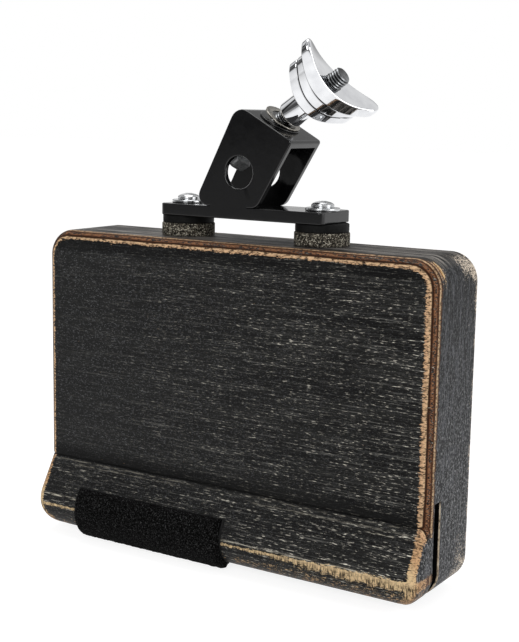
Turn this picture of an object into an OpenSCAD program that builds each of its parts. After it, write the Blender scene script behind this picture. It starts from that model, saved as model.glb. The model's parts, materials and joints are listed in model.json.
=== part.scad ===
// Woodblock with a flared lip and a rod clamp on top.
// Millimetres, +Z up, front face towards -Y. The origin is the centre of the
// rod holes, midway between the two walls of the clamp.

/* [Block] */
// Width of the block, left to right
block_w = 200; // [180:1:240]
// Height of the block
block_h = 141.5; // [130:0.5:170]
// Radius of its four corners, seen from the front
corner_r = 12; // [8:0.5:16]
// Rounding of the front edges, which lays the plies bare
front_edge_r = 4.8; // [2:0.1:5]
// Rounding of the back edges
back_edge_r = 1.5; // [0.5:0.1:3]
// Thickness of the front plate, the one that is struck
front_t = 5.4; // [5.2:0.1:7]
// Thickness of the rails round the chamber
rail_t = 22.9; // [20:0.1:30]
// Thickness of the back plate
back_t = 6; // [4:0.1:9]
// Height of the top and bottom rails and width of the side rails
rail_w = 22; // [18:1:28]

/* [Slot] */
// Width of the sound slot behind the front plate
slot_w = 5.7; // [4.6:0.1:7]
// Height of the slot from the underside of the block
slot_h = 42.7; // [30:0.1:60]

/* [Lip] */
// Height at which the lip starts to flare from the front face
crease_z = 33; // [28:0.5:40]
// Reach of the lip in front of the front face
lip_out = 9.8; // [7:0.1:11]
// Radius of the nose of the lip
nose_r = 12.7; // [12:0.1:14]

/* [Pad] */
// Width of the pad along the lip
pad_w = 80.5; // [50:0.5:120]
// Distance of the pad from the left end of the block
pad_left = 26; // [20:0.5:50]
// Thickness of the pad
pad_t = 3.5; // [2:0.1:5]
// Thickness of the adhesive tape behind the pad
tape_t = 0.4; // [0.2:0.1:0.8]
// Length of the pad's flat part, above the nose
pad_rise = 3; // [1:0.5:8]
// Angle that the pad wraps round the nose
pad_wrap = 95; // [70:1:110]

/* [Feet] */
// Distance of each screw from its end of the bar
screw_inset = 7; // [6.5:0.1:9]
// Diameter of the cork washers
cork_d = 24; // [20:0.5:25]
// Thickness of the cork washers
cork_t = 5.8; // [3:0.1:8]
// Diameter of the rubber washers
rubber_d = 23.2; // [18:0.1:25]
// Thickness of the rubber washers
rubber_t = 3.7; // [2:0.1:6]
// Radial room round the shank of each screw
shank_room = 0.3; // [0.2:0.05:0.6]

/* [Screws] */
// Thread diameter of the two screws
screw_d = 5; // [4:0.5:6]
// Length of their shanks under the head
screw_l = 30; // [28:1:34]
// Diameter of their heads
screw_head_d = 10; // [8:0.1:11]
// Height of their heads
screw_head_h = 2.8; // [2:0.1:4]
// Diameter of the washers under the heads
screw_washer_d = 15; // [12:0.5:18]
// Thickness of these washers
screw_washer_t = 1.3; // [0.8:0.1:2]
// Diameter of the brass inserts in the top rail
insert_d = 8; // [7:0.1:10]
// Length of the brass inserts
insert_l = 13; // [8:0.5:16]

/* [Bracket] */
// Length of the bar that the screws hold down
bar_l = 84; // [82:1:110]
// Depth of the bar and of the clamp, front to back
bar_d = 25; // [22:0.5:27]
// Thickness of the bar
bar_t = 5.2; // [4:0.1:7]
// Radius of the bar's corners, seen from above
bar_corner_r = 2.5; // [1:0.1:4]
// Thickness of the clamp's two walls
wall_t = 2.5; // [2:0.1:4]
// Lean of the clamp to the right of upright
clamp_lean = 28.9; // [20:0.1:35]
// Width of the clamp near its web
clamp_w = 31.8; // [28:0.1:35]
// Width of the clamp near the bar
clamp_foot_w = 29; // [26:0.1:32]
// Diameter of the holes for the stand's rod
rod_hole_d = 14; // [11:0.5:15]
// Height of the rod holes above the bar
rod_rise = 15.05; // [13:0.05:20]
// Distance from the rod holes to the outside of the web
rod_to_web = 24.9; // [24:0.1:30]
// Thickness of the web that joins the two walls
web_t = 3.4; // [3:0.1:4]

/* [Clamp bolt] */
// Thread diameter of the clamp bolt
bolt_d = 8; // [6:0.5:9]
// Length of its threaded shank
bolt_l = 60; // [58:1:70]
// Width of its hexagon head across the flats
head_af = 13; // [10:0.5:15]
// Height of the head
head_h = 5.3; // [4:0.1:7]
// Lean of the loose bolt beyond square to the web
bolt_lean = 27.6; // [15:0.1:28]
// Length of shank that stands out of the wing nut
stud_out = 5.6; // [3:0.1:10]

/* [Washers on the web] */
// Diameter of the black washer that lies on the web
web_washer_d = 18.5; // [17:0.1:20]
// Thickness of the black washer
web_washer_t = 0.7; // [0.6:0.1:1.2]
// Diameter of the plated washer above it
plated_washer_d = 17; // [15:0.1:18]
// Thickness of the plated washer
plated_washer_t = 0.8; // [0.6:0.1:1.2]
// Angle at which the loose plated washer stands off the black one
plated_tilt = 8; // [4:0.1:10]

/* [Wing nut] */
// Diameter of the ferrule under the wings
ferrule_d = 12; // [11:0.1:13]
// Length of the ferrule
ferrule_l = 10; // [8:0.1:14]
// Heights of the three tiers at the middle, lowest first
tier_h = [4.8, 4.7, 6.5]; // [3:0.1:8]
// Half spans of the three tiers, lowest first
tier_reach = [18, 18, 22.2]; // [14:0.1:26]
// Rise of each tier's underside from the middle to the tip
under_rise = [7.4, 7.2, 8.8]; // [4:0.1:12]
// Rise of each tier's top from the middle to the tip
top_rise = [7.2, 6.6, 7]; // [4:0.1:12]
// Half depths of the three tiers at the middle, lowest first
tier_half_d = [7.4, 7.8, 8.3]; // [6.8:0.1:10]
// Radius of the wings' tips, seen along the bolt
tip_r = 2.9; // [2:0.1:4]
// Turn of the wings about the bolt, from the plane that the clamp leans in
wing_turn = 42; // [0:1:90]

/* [Hidden] */
$fn = 96;

// Overrun of every cut past the face that it opens
cut = 1;
// Radial play between shafts and the holes they turn or slide in
play = 0.05;
// Gap that is left between loose pieces
gap = 0.05;
// Gap between the ferrule and the wing nut that turns on it
bearing_gap = 0.1;
// Depth that each lower tier of the wing nut runs into the next
tier_lap = 0.4;
// Distance of the plated washer's low edge from the black washer's edge
plated_inset = 0.4;
// Crown of the screw heads, and their hexagon sockets
crown_share = 0.55;
crown_steps = 8;
socket_af = 3;
socket_depth_share = 0.55;
// Chamfers of the rod holes, the bolt's head and its tip
rim_chamfer = 0.6;
head_chamfer = 0.8;
stud_chamfer = 0.6;
// Shift of the clamp down its own slope, and its four corner radii
clamp_shift = 0.7;
clamp_foot_r = 4.5;
clamp_heel_r = 5;
clamp_top_r = 6;
clamp_nose_r = 1.5;
// Segments in each rounded corner of the clamp's outline
arc_steps = 10;

// Layers of the block, front to back
slot_y = front_t;
rail_y = slot_y + slot_w;
back_y = rail_y + rail_t;
block_d = back_y + back_t;

// Screws, washers and bar, from the top of the block upwards
stack_y = rail_y + rail_t / 2;
cork_z = block_h;
rubber_z = cork_z + cork_t;
bar_z = rubber_z + rubber_t;
bar_top_z = bar_z + bar_t;
screw_pitch = bar_l - 2 * screw_inset;
screw_x = [(block_w - screw_pitch) / 2, (block_w + screw_pitch) / 2];
screw_hole_d = screw_d + 2 * shank_room;
insert_hole_d = insert_d + 2 * play;
screw_tip_room = 2;
screw_depth = screw_l - screw_washer_t - bar_t - rubber_t - cork_t;

// Rod holes, which give the whole part its origin
rod_z = bar_top_z + rod_rise;

// Section of the lip: a nose and a flat flare that starts at the crease
nose_y = nose_r - lip_out;
nose_to_crease = norm([nose_y, crease_z - nose_r]);
flare_angle = asin(nose_r / nose_to_crease) - atan2(nose_y, crease_z - nose_r);
nose_steps = 18;

// Clamp bolt: its pivot is the middle of the web, and it stands square to
// the web when its lean is taken away
pivot_n = rod_to_web - web_t / 2;
bolt_angle = clamp_lean + bolt_lean;
web_hole_d = bolt_d / cos(bolt_lean) + web_t * tan(bolt_lean) + 4 * play;
nut_h = tier_h[0] + tier_h[1] + tier_h[2];

// Bores of the washers on the web: they clear the shank over its whole swing
bore_right = bolt_d / 2 / cos(bolt_lean) + (web_t / 2 + web_washer_t) * tan(bolt_lean) + 2 * play;
bore_left = bolt_d / 2 + 2 * play;
washer_bore_d = bore_left + bore_right;
washer_shift = (bore_right - bore_left) / 2;
plated_bore_d = washer_bore_d + plated_washer_t;

// The plated washer tips about its lower edge, and the ferrule's low corner
// lies on it
plated_edge = washer_shift + web_washer_d / 2 - plated_inset;
ferrule_r = ferrule_d / 2;
washer_stack_t = web_washer_t + plated_washer_t / cos(plated_tilt) + 3 * gap;
nut_seat = (web_t / 2 + washer_stack_t + ferrule_r * sin(bolt_lean)
    + (plated_edge - ferrule_r * cos(bolt_lean)) * tan(plated_tilt))
    / (cos(bolt_lean) + sin(bolt_lean) * tan(plated_tilt));

// Moves the block's own corner-based places into the part's frame
module in_frame() {
    translate([-block_w / 2, -stack_y, -rod_z])
        children();
}

// Points of a polygon with each corner rounded by its own radius
function unit(v) = v / norm(v);
function rounded_corner(before, corner, after, r) =
    let (
        to_before = unit(before - corner),
        to_after = unit(after - corner),
        half = acos(to_before * to_after) / 2,
        centre = corner + unit(to_before + to_after) * r / sin(half),
        first = corner + to_before * r / tan(half) - centre,
        last = corner + to_after * r / tan(half) - centre,
        start = atan2(first.y, first.x),
        turn = (atan2(last.y, last.x) - start + 540) % 360 - 180
    )
    [for (i = [0:arc_steps])
        centre + r * [cos(start + turn * i / arc_steps), sin(start + turn * i / arc_steps)]];
function rounded_polygon(corners, radii) =
    [for (i = [0:len(corners) - 1])
        each rounded_corner(
            corners[(i + len(corners) - 1) % len(corners)],
            corners[i],
            corners[(i + 1) % len(corners)],
            radii[i]
        )];

// Outline of the block seen from the front, as a slab from y to y + t
module block_slab(y, t) {
    corner_x = [corner_r, block_w - corner_r];
    translate([0, y + t, 0])
        rotate([90, 0, 0])
            linear_extrude(t)
                union() {
                    translate([0, corner_r])
                        square([block_w, block_h - 2 * corner_r]);
                    translate([corner_r, 0])
                        square([block_w - 2 * corner_r, block_h]);
                    for (x = corner_x)
                        for (z = [corner_r, block_h - corner_r])
                            translate([x, z])
                                circle(corner_r);
                }
}

// A box that keeps the part of a slab between two heights and two sides
module window(x0, x1, z0, z1) {
    translate([x0, -lip_out - cut, z0])
        cube([x1 - x0, block_d + lip_out + 2 * cut, z1 - z0]);
}

// A slab whose front or back edge is rounded all round; flip rounds the back
module edged_slab(y, t, r, flip) {
    quarter_steps = 6;
    hull()
        for (x = [corner_r, block_w - corner_r])
            for (z = [corner_r, block_h - corner_r])
                translate([x, y + (flip ? 0 : t), z])
                    rotate([flip ? -90 : 90, 0, 0])
                        rotate_extrude($fn = 40)
                            polygon(concat(
                                [[0, 0], [corner_r, 0]],
                                [for (i = [0:quarter_steps])
                                    let (a = 90 * i / quarter_steps)
                                    [corner_r - r + r * cos(a), t - r + r * sin(a)]],
                                [[0, t]]
                            ));
}

// Region of the lip's section, y across and z up, moved in or out by grow
module lip_section(grow) {
    flare_out = [-cos(flare_angle), sin(flare_angle)];
    first = 180 - flare_angle;
    turn = 270 - first;
    polygon(concat(
        [[0, crease_z] + grow * flare_out],
        [for (i = [0:nose_steps])
            let (a = first + turn * i / nose_steps)
            [nose_y, nose_r] + (nose_r + grow) * [cos(a), sin(a)]],
        [[block_d, -grow], [block_d, crease_z + grow]]
    ));
}

// Turns a y-z section into a bar along x
module along_x(x, l) {
    translate([x, 0, 0])
        rotate([90, 0, 90])
            linear_extrude(l)
                children();
}

module front_plate() {
    color("#262626")
        in_frame()
            union() {
                intersection() {
                    edged_slab(0, front_t, front_edge_r, false);
                    window(0, block_w, crease_z, block_h);
                }
                intersection() {
                    block_slab(0, front_t);
                    window(0, block_w, 0, crease_z);
                    along_x(0, block_w)
                        lip_section(0);
                }
            }
}

module lip() {
    color("#2a2a2a")
        in_frame()
            intersection() {
                block_slab(-lip_out - cut, lip_out + cut);
                along_x(0, block_w)
                    intersection() {
                        lip_section(0);
                        translate([-lip_out - cut, 0])
                            square([lip_out + cut, crease_z]);
                    }
                translate([0, -lip_out, 0])
                    linear_extrude(block_h)
                        union() {
                            translate([front_edge_r, 0])
                                square([block_w - 2 * front_edge_r, lip_out + cut]);
                            translate([0, front_edge_r])
                                square([block_w, lip_out - front_edge_r + cut]);
                            for (x = [front_edge_r, block_w - front_edge_r])
                                translate([x, front_edge_r])
                                    circle(front_edge_r);
                        }
            }
}

// Layer behind the front plate, above the slot
module slot_spacer_top() {
    color("#303030")
        in_frame()
            intersection() {
                block_slab(slot_y, slot_w);
                window(0, block_w, block_h - rail_w, block_h);
            }
}

module slot_spacers() {
    color("#353535")
        in_frame()
            for (x = [0, block_w - rail_w])
                translate([x, slot_y, slot_h])
                    cube([rail_w, slot_w, block_h - rail_w - slot_h]);
}

module top_rail() {
    color("#2d2d2d")
        in_frame()
            difference() {
                intersection() {
                    block_slab(rail_y, rail_t);
                    window(0, block_w, block_h - rail_w, block_h);
                }
                for (x = screw_x) {
                    translate([x, stack_y, block_h - insert_l])
                        cylinder(h = insert_l + cut, d = insert_hole_d);
                    translate([x, stack_y, block_h - screw_depth - screw_tip_room])
                        cylinder(h = screw_depth, d = screw_hole_d);
                }
            }
}

module bottom_rail() {
    color("#2d2d2d")
        in_frame()
            intersection() {
                block_slab(rail_y, rail_t);
                window(0, block_w, 0, rail_w);
            }
}

module side_rails() {
    color("#333333")
        in_frame()
            for (x = [0, block_w - rail_w])
                translate([x, rail_y, rail_w])
                    cube([rail_w, rail_t, block_h - 2 * rail_w]);
}

module back_plate() {
    color("#262626")
        in_frame()
            edged_slab(back_y, back_t, back_edge_r, true);
}

// A skin of the lip's section between two distances from its surface
module lip_skin(inner, outer) {
    reach = 2 * (nose_r + outer);
    flare_dir = [sin(flare_angle), cos(flare_angle)];
    flare_out = [-cos(flare_angle), sin(flare_angle)];
    nose = [nose_y, nose_r];
    wrap_start = 180 - flare_angle;
    wrap_end = wrap_start + pad_wrap;
    wrap_middle = (wrap_start + wrap_end) / 2;
    intersection() {
        difference() {
            lip_section(outer);
            lip_section(inner);
        }
        polygon([
            nose,
            nose + pad_rise * flare_dir,
            nose + pad_rise * flare_dir + reach * flare_out,
            nose + reach * flare_out,
            nose + reach * [cos(wrap_middle), sin(wrap_middle)],
            nose + reach * [cos(wrap_end), sin(wrap_end)]
        ]);
    }
}

module pad_tape() {
    color("#1c1c1c")
        in_frame()
            along_x(pad_left, pad_w)
                lip_skin(0, tape_t);
}

module pad() {
    color("#111111")
        in_frame()
            along_x(pad_left, pad_w)
                lip_skin(tape_t, tape_t + pad_t);
}

module inserts() {
    color("#b5903f")
        in_frame()
            for (x = screw_x)
                translate([x, stack_y, block_h - insert_l])
                    difference() {
                        cylinder(h = insert_l, d = insert_d);
                        translate([0, 0, -cut])
                            cylinder(h = insert_l + 2 * cut, d = screw_d + 2 * play);
                    }
}

// A pair of washers, one under each screw
module washer_pair(z, d, t) {
    in_frame()
        for (x = screw_x)
            translate([x, stack_y, z])
                difference() {
                    cylinder(h = t, d = d);
                    translate([0, 0, -cut])
                        cylinder(h = t + 2 * cut, d = screw_hole_d);
                }
}

module cork_washers() {
    color("#8a8078")
        washer_pair(cork_z, cork_d, cork_t);
}

module rubber_washers() {
    color("#1b1b1b")
        washer_pair(rubber_z, rubber_d, rubber_t);
}

module screw_washers() {
    color("#c9cacb")
        washer_pair(bar_top_z, screw_washer_d, screw_washer_t);
}

module bracket_screws() {
    head_z = bar_top_z + screw_washer_t;
    head_r = screw_head_d / 2;
    crown_h = screw_head_h * crown_share;
    crown_r = (pow(head_r, 2) + pow(crown_h, 2)) / (2 * crown_h);
    rim_angle = asin(head_r / crown_r);
    color("#d0d1d3")
        in_frame()
            for (x = screw_x)
                translate([x, stack_y, head_z])
                    difference() {
                        rotate_extrude()
                            polygon(concat(
                                [[0, -screw_l], [screw_d / 2, -screw_l], [screw_d / 2, 0], [head_r, 0]],
                                [for (i = [0:crown_steps])
                                    let (a = rim_angle * (1 - i / crown_steps))
                                    [crown_r * sin(a), screw_head_h - crown_r * (1 - cos(a))]]
                            ));
                        translate([0, 0, screw_head_h * (1 - socket_depth_share)])
                            cylinder(h = screw_head_h, d = socket_af / cos(30), $fn = 6);
                    }
}

// Places in the clamp's leaning frame: along runs down the web, up runs
// square to it, both from the rod holes
function lean_point(along, up) = [
    along * cos(clamp_lean) + up * sin(clamp_lean),
    up * cos(clamp_lean) - along * sin(clamp_lean)
];
function at_height(p, q, z) = p + (q - p) * (z - p.y) / (q.y - p.y);

// Draws an x-z section as a plate of depth t, centred front to back
module across(t) {
    translate([0, t / 2, 0])
        rotate([90, 0, 0])
            linear_extrude(t)
                children();
}

// Moves to the middle of the web's outer face, square to the web
module on_web() {
    centre = lean_point(0, rod_to_web);
    translate([centre.x, 0, centre.y])
        rotate([0, clamp_lean, 0])
            children();
}

// Moves to the bolt's pivot, along the loose bolt
module on_bolt() {
    pivot = lean_point(0, pivot_n);
    translate([pivot.x, 0, pivot.y])
        rotate([0, bolt_angle, 0])
            children();
}

// The bar that the screws hold down, with its two holes
module bracket_bar() {
    translate([0, 0, -rod_rise - bar_t])
        linear_extrude(bar_t)
            union() {
                square([bar_l - 2 * bar_corner_r, bar_d], center = true);
                square([bar_l, bar_d - 2 * bar_corner_r], center = true);
                for (x = [-1, 1])
                    for (y = [-1, 1])
                        translate([x * (bar_l / 2 - bar_corner_r), y * (bar_d / 2 - bar_corner_r)])
                            circle(bar_corner_r);
            }
}

// Outline of the clamp seen from the front
module clamp_outline() {
    top_left = lean_point(clamp_shift - clamp_w / 2, rod_to_web);
    top_right = lean_point(clamp_shift + clamp_w / 2, rod_to_web);
    foot_left = at_height(top_left, lean_point(clamp_shift - clamp_foot_w / 2, -rod_rise), -rod_rise);
    foot_right = at_height(top_right, lean_point(clamp_shift + clamp_foot_w / 2, -rod_rise), -rod_rise);
    neck_left = foot_left.x + 2 * clamp_foot_r;
    neck_right = foot_right.x - clamp_heel_r;
    polygon(rounded_polygon(
        [foot_left, foot_right, top_right, top_left],
        [clamp_foot_r, clamp_heel_r, clamp_nose_r, clamp_top_r]
    ));
    translate([neck_left, -rod_rise - bar_t / 2])
        square([neck_right - neck_left, bar_t]);
}

// The open space between the two walls, under the web and over the bar
module clamp_gap() {
    inner_d = bar_d - 2 * wall_t;
    across(inner_d)
        intersection() {
            rotate(-clamp_lean)
                translate([-2 * clamp_w, rod_to_web - web_t - 4 * clamp_w])
                    square([4 * clamp_w, 4 * clamp_w]);
            translate([-2 * clamp_w, -rod_rise])
                square([4 * clamp_w, 4 * clamp_w]);
        }
}

module bracket() {
    color("#202020")
        difference() {
            union() {
                bracket_bar();
                across(bar_d)
                    clamp_outline();
            }
            clamp_gap();
            rotate([90, 0, 0])
                cylinder(h = bar_d + 2 * cut, d = rod_hole_d, center = true);
            for (side = [0, 180])
                rotate([0, 0, side])
                    translate([0, -bar_d / 2 - cut, 0])
                        rotate([-90, 0, 0])
                            cylinder(
                                h = rim_chamfer + cut,
                                d1 = rod_hole_d + 2 * rim_chamfer + 2 * cut,
                                d2 = rod_hole_d
                            );
            on_web()
                translate([0, 0, -web_t - cut])
                    cylinder(h = web_t + 2 * cut, d = web_hole_d);
            for (x = [-screw_pitch / 2, screw_pitch / 2])
                translate([x, 0, -rod_rise - bar_t - cut])
                    cylinder(h = bar_t + 2 * cut, d = screw_hole_d);
        }
}

module web_washer() {
    color("#141414")
        on_web()
            translate([washer_shift, 0, 0])
                difference() {
                    cylinder(h = web_washer_t, d = web_washer_d);
                    translate([0, 0, -cut])
                        cylinder(h = web_washer_t + 2 * cut, d = washer_bore_d);
                }
}

module plated_washer() {
    color("#c8c4ba")
        on_web()
            translate([plated_edge, 0, web_washer_t + gap])
                rotate([0, plated_tilt, 0])
                    translate([-plated_washer_d / 2, 0, 0])
                        difference() {
                            cylinder(h = plated_washer_t, d = plated_washer_d);
                            translate([0, 0, -cut])
                                cylinder(h = plated_washer_t + 2 * cut, d = plated_bore_d);
                        }
}

module clamp_bolt() {
    shank_foot = nut_seat + ferrule_l + bearing_gap + nut_h + stud_out - bolt_l;
    head_corner_d = head_af / cos(30);
    color("#b9bbbe")
        on_bolt()
            translate([0, 0, shank_foot])
                union() {
                    cylinder(h = bolt_l - stud_chamfer, d = bolt_d);
                    translate([0, 0, bolt_l - stud_chamfer])
                        cylinder(h = stud_chamfer, d1 = bolt_d, d2 = bolt_d - 2 * stud_chamfer);
                    intersection() {
                        translate([0, 0, -head_h])
                            cylinder(h = head_h + stud_chamfer, d = head_corner_d, $fn = 6);
                        union() {
                            translate([0, 0, head_chamfer - head_h])
                                cylinder(h = head_h - head_chamfer, d = head_corner_d);
                            translate([0, 0, -head_h])
                                cylinder(
                                    h = head_chamfer,
                                    d1 = head_corner_d - 3 * head_chamfer,
                                    d2 = head_corner_d
                                );
                        }
                    }
                }
}

module ferrule() {
    color("#dfe2e6")
        on_bolt()
            translate([0, 0, nut_seat])
                difference() {
                    cylinder(h = ferrule_l, d = ferrule_d);
                    translate([0, 0, -cut])
                        cylinder(h = ferrule_l + 2 * cut, d = bolt_d + 2 * play);
                }
}

// Outline of one tier seen along the bolt: two shallow arcs and round tips
module tier_outline(reach, half_d) {
    tip_x = reach - tip_r;
    drop = half_d - tip_r;
    arc_r = (pow(tip_x, 2) + pow(drop, 2)) / (2 * drop);
    union() {
        intersection() {
            translate([0, half_d - arc_r])
                circle(arc_r);
            translate([0, arc_r - half_d])
                circle(arc_r);
            square([2 * tip_x, 2 * half_d], center = true);
        }
        for (side = [-1, 1])
            translate([side * tip_x, 0])
                circle(tip_r);
    }
}

// A cylinder across the wings whose lowest line passes through height z
module bow(reach, rise, z) {
    bow_r = (pow(reach, 2) + pow(rise, 2)) / (2 * rise);
    translate([0, 0, z + bow_r])
        rotate([90, 0, 0])
            cylinder(h = 2 * reach, r = bow_r, center = true);
}

module tier(i) {
    foot = i == 0 ? 0 : (i == 1 ? tier_h[0] : tier_h[0] + tier_h[1]);
    lap = i == 2 ? 0 : tier_lap;
    difference() {
        intersection() {
            translate([0, 0, foot])
                linear_extrude(tier_h[i] + lap + top_rise[i])
                    tier_outline(tier_reach[i], tier_half_d[i]);
            bow(tier_reach[i], under_rise[i], foot);
        }
        bow(tier_reach[i], top_rise[i], foot + tier_h[i] + lap);
    }
}

module wing_nut() {
    color("#e3e6ea")
        on_bolt()
            translate([0, 0, nut_seat + ferrule_l + bearing_gap])
                rotate([0, 0, wing_turn])
                    difference() {
                        union() {
                            for (i = [0:2])
                                tier(i);
                            cylinder(h = nut_h - tier_lap, d = ferrule_d);
                        }
                        translate([0, 0, -cut])
                            cylinder(h = nut_h + 2 * cut, d = bolt_d + 2 * play);
                    }
}

front_plate();
lip();
slot_spacer_top();
slot_spacers();
top_rail();
bottom_rail();
side_rails();
back_plate();
pad_tape();
pad();
inserts();
cork_washers();
rubber_washers();
bracket();
screw_washers();
bracket_screws();
web_washer();
plated_washer();
clamp_bolt();
ferrule();
wing_nut();
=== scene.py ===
# %% [markdown]
# # A stained woodblock on its clamp
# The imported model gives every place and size. This lesson dresses it piece by
# piece: first the camera, then the finishes, then the shapes that wear them.

# %% Load the frame
import json
import math

import bmesh
import bpy
from mathutils import Matrix, Vector, noise


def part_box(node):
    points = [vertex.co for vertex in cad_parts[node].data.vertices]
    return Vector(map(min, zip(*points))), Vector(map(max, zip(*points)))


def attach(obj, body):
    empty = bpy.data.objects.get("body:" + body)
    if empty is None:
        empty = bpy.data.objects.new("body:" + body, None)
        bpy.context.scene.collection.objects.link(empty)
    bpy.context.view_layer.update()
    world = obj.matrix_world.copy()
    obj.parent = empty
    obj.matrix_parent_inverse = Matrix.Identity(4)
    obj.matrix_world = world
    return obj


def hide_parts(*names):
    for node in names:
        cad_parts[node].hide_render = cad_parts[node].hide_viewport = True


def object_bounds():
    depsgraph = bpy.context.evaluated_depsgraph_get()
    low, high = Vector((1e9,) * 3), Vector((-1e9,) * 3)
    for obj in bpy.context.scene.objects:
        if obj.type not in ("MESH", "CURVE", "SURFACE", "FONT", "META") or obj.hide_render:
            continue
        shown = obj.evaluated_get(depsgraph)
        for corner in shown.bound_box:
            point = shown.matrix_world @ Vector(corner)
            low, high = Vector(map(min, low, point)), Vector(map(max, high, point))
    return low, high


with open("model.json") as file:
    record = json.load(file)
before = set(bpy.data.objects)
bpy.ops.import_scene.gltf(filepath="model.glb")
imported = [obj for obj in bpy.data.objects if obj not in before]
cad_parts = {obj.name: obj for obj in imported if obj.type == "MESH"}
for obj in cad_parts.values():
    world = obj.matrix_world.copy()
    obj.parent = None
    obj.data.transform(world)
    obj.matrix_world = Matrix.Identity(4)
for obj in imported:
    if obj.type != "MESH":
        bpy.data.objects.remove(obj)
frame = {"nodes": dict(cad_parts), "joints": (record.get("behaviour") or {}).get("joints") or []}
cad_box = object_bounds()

MM = 0.001
scene = bpy.context.scene
nodes = frame["nodes"]

# %% [markdown]
# The block is drawn from its own front left bottom corner, in millimetres, as
# a joiner would measure it. The frame has its origin between the rod holes of
# the clamp, so one shift takes a point from the block to the frame.

# %% The block's corner in the frame
BLOCK_W, BLOCK_H = 200.0, 141.5
board_low, board_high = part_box("back_plate")
CORNER = Vector((board_low.x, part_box("front_plate")[0].y, board_low.z))


def block_point(x, y, z):
    """A point measured in mm from the block's corner, in the frame's metres"""
    return CORNER + Vector((x, y, z)) * MM


FRONT_Y = (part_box("slot_spacer_top")[0].y - CORNER.y) / MM
RAIL_Y = (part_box("top_rail")[0].y - CORNER.y) / MM
BACK_Y = (board_low.y - CORNER.y) / MM
DEPTH = (board_high.y - CORNER.y) / MM
print("layers of the block at", [round(v, 2) for v in (FRONT_Y, RAIL_Y, BACK_Y, DEPTH)], "mm")

# %% [markdown]
# The camera stands where the photograph was taken from. Its place, its turn,
# its tilt down and its slight roll come from the edges of the block and from
# the circles of the clamp. Blender looks along its own minus Z.

# %% Camera
IMAGE_H, FOCAL_PX, SENSOR_H = 642, 1275.1, 36.0
CAMERA_PLACE = (0.30435, -0.47196, 0.02597)
turn, pitch, roll = math.radians(32.46), math.radians(9.32), math.radians(-0.98)
forward = Vector((-math.sin(turn) * math.cos(pitch), math.cos(turn) * math.cos(pitch),
                  -math.sin(pitch)))
level_right = Vector((math.cos(turn), math.sin(turn), 0))
level_down = forward.cross(level_right)
right = level_right * math.cos(roll) + level_down * math.sin(roll)
down = level_down * math.cos(roll) - level_right * math.sin(roll)


def new_object(name, data):
    """Puts a mesh, a lamp or a camera into the scene"""
    made = bpy.data.objects.new(name, data)
    scene.collection.objects.link(made)
    return made


camera = new_object("camera", bpy.data.cameras.new("camera"))
camera.data.sensor_fit = "VERTICAL"
camera.data.sensor_height = SENSOR_H
camera.data.lens = FOCAL_PX * SENSOR_H / IMAGE_H
camera.data.clip_start = 0.01
camera.matrix_world = (Matrix.Translation(CAMERA_PLACE)
                       @ Matrix((right, -down, -forward)).transposed().to_4x4())
scene.camera = camera
print("lens", round(camera.data.lens, 1), "mm")

# %% [markdown]
# Colours are written as sRGB hex values, the way a colour card gives them, and
# one function turns them to the linear numbers that the shaders add up. One
# more function adds a node with its settings and links. The scale of a pattern
# is always worked out from the size of its marks in millimetres.

# %% Colour and node helpers
def linear(code):
    """The linear colour of an sRGB hex value"""
    parts = [int(code[i:i + 2], 16) / 255 for i in (1, 3, 5)]
    return [p / 12.92 if p <= 0.04045 else ((p + 0.055) / 1.055) ** 2.4 for p in parts] + [1.0]


def add_node(tree, kind, inputs=(), out=0, ramp=(), **settings):
    """Adds a node with its settings, values, links and ramp, and gives one output"""
    node = tree.nodes.new(kind)
    for name, value in settings.items():
        setattr(node, name, value)
    for socket, value in dict(inputs).items():
        if isinstance(value, bpy.types.NodeSocket):
            tree.links.new(value, node.inputs[socket])
        else:
            node.inputs[socket].default_value = linear(value) if isinstance(value, str) else value
    for i, (place, colour) in enumerate(ramp):
        elements = node.color_ramp.elements
        element = elements[i] if i < 2 else elements.new(place)
        element.position = place
        element.color = linear(colour) if isinstance(colour, str) else [colour] * 3 + [1.0]
    return node.outputs[out]


def new_material(name, **values):
    """A material with one shader, whose plain values are set on its own sockets"""
    material = bpy.data.materials.new(name)
    material.use_nodes = True
    tree = material.node_tree
    shader = tree.nodes["Principled BSDF"]
    for socket, value in values.items():
        shader.inputs[socket.replace("_", " ")].default_value = value
    return material, tree, shader


def marks(x, y, z):
    """The scale that gives a pattern marks of x, y and z millimetres"""
    return (1 / (x * MM), 1 / (y * MM), 1 / (z * MM))


print("half grey is", round(linear("#808080")[0], 3), "in linear numbers")

# %% [markdown]
# **Stained plywood.** The block is birch plywood, stained black, brushed along
# the grain and sanded through along its edges. Each kind of mark on it is a
# noise, stretched to the mark's own size along x, y and z. The fibres and hairs
# of birch are about 0.1 mm wide, and the brush lines and specks 0.2 mm. Such
# fine ones wouldn't show, so they are drawn 0.4 mm wide or more. An image could
# give the same look, but it would have to be wrapped round each edge.

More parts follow.
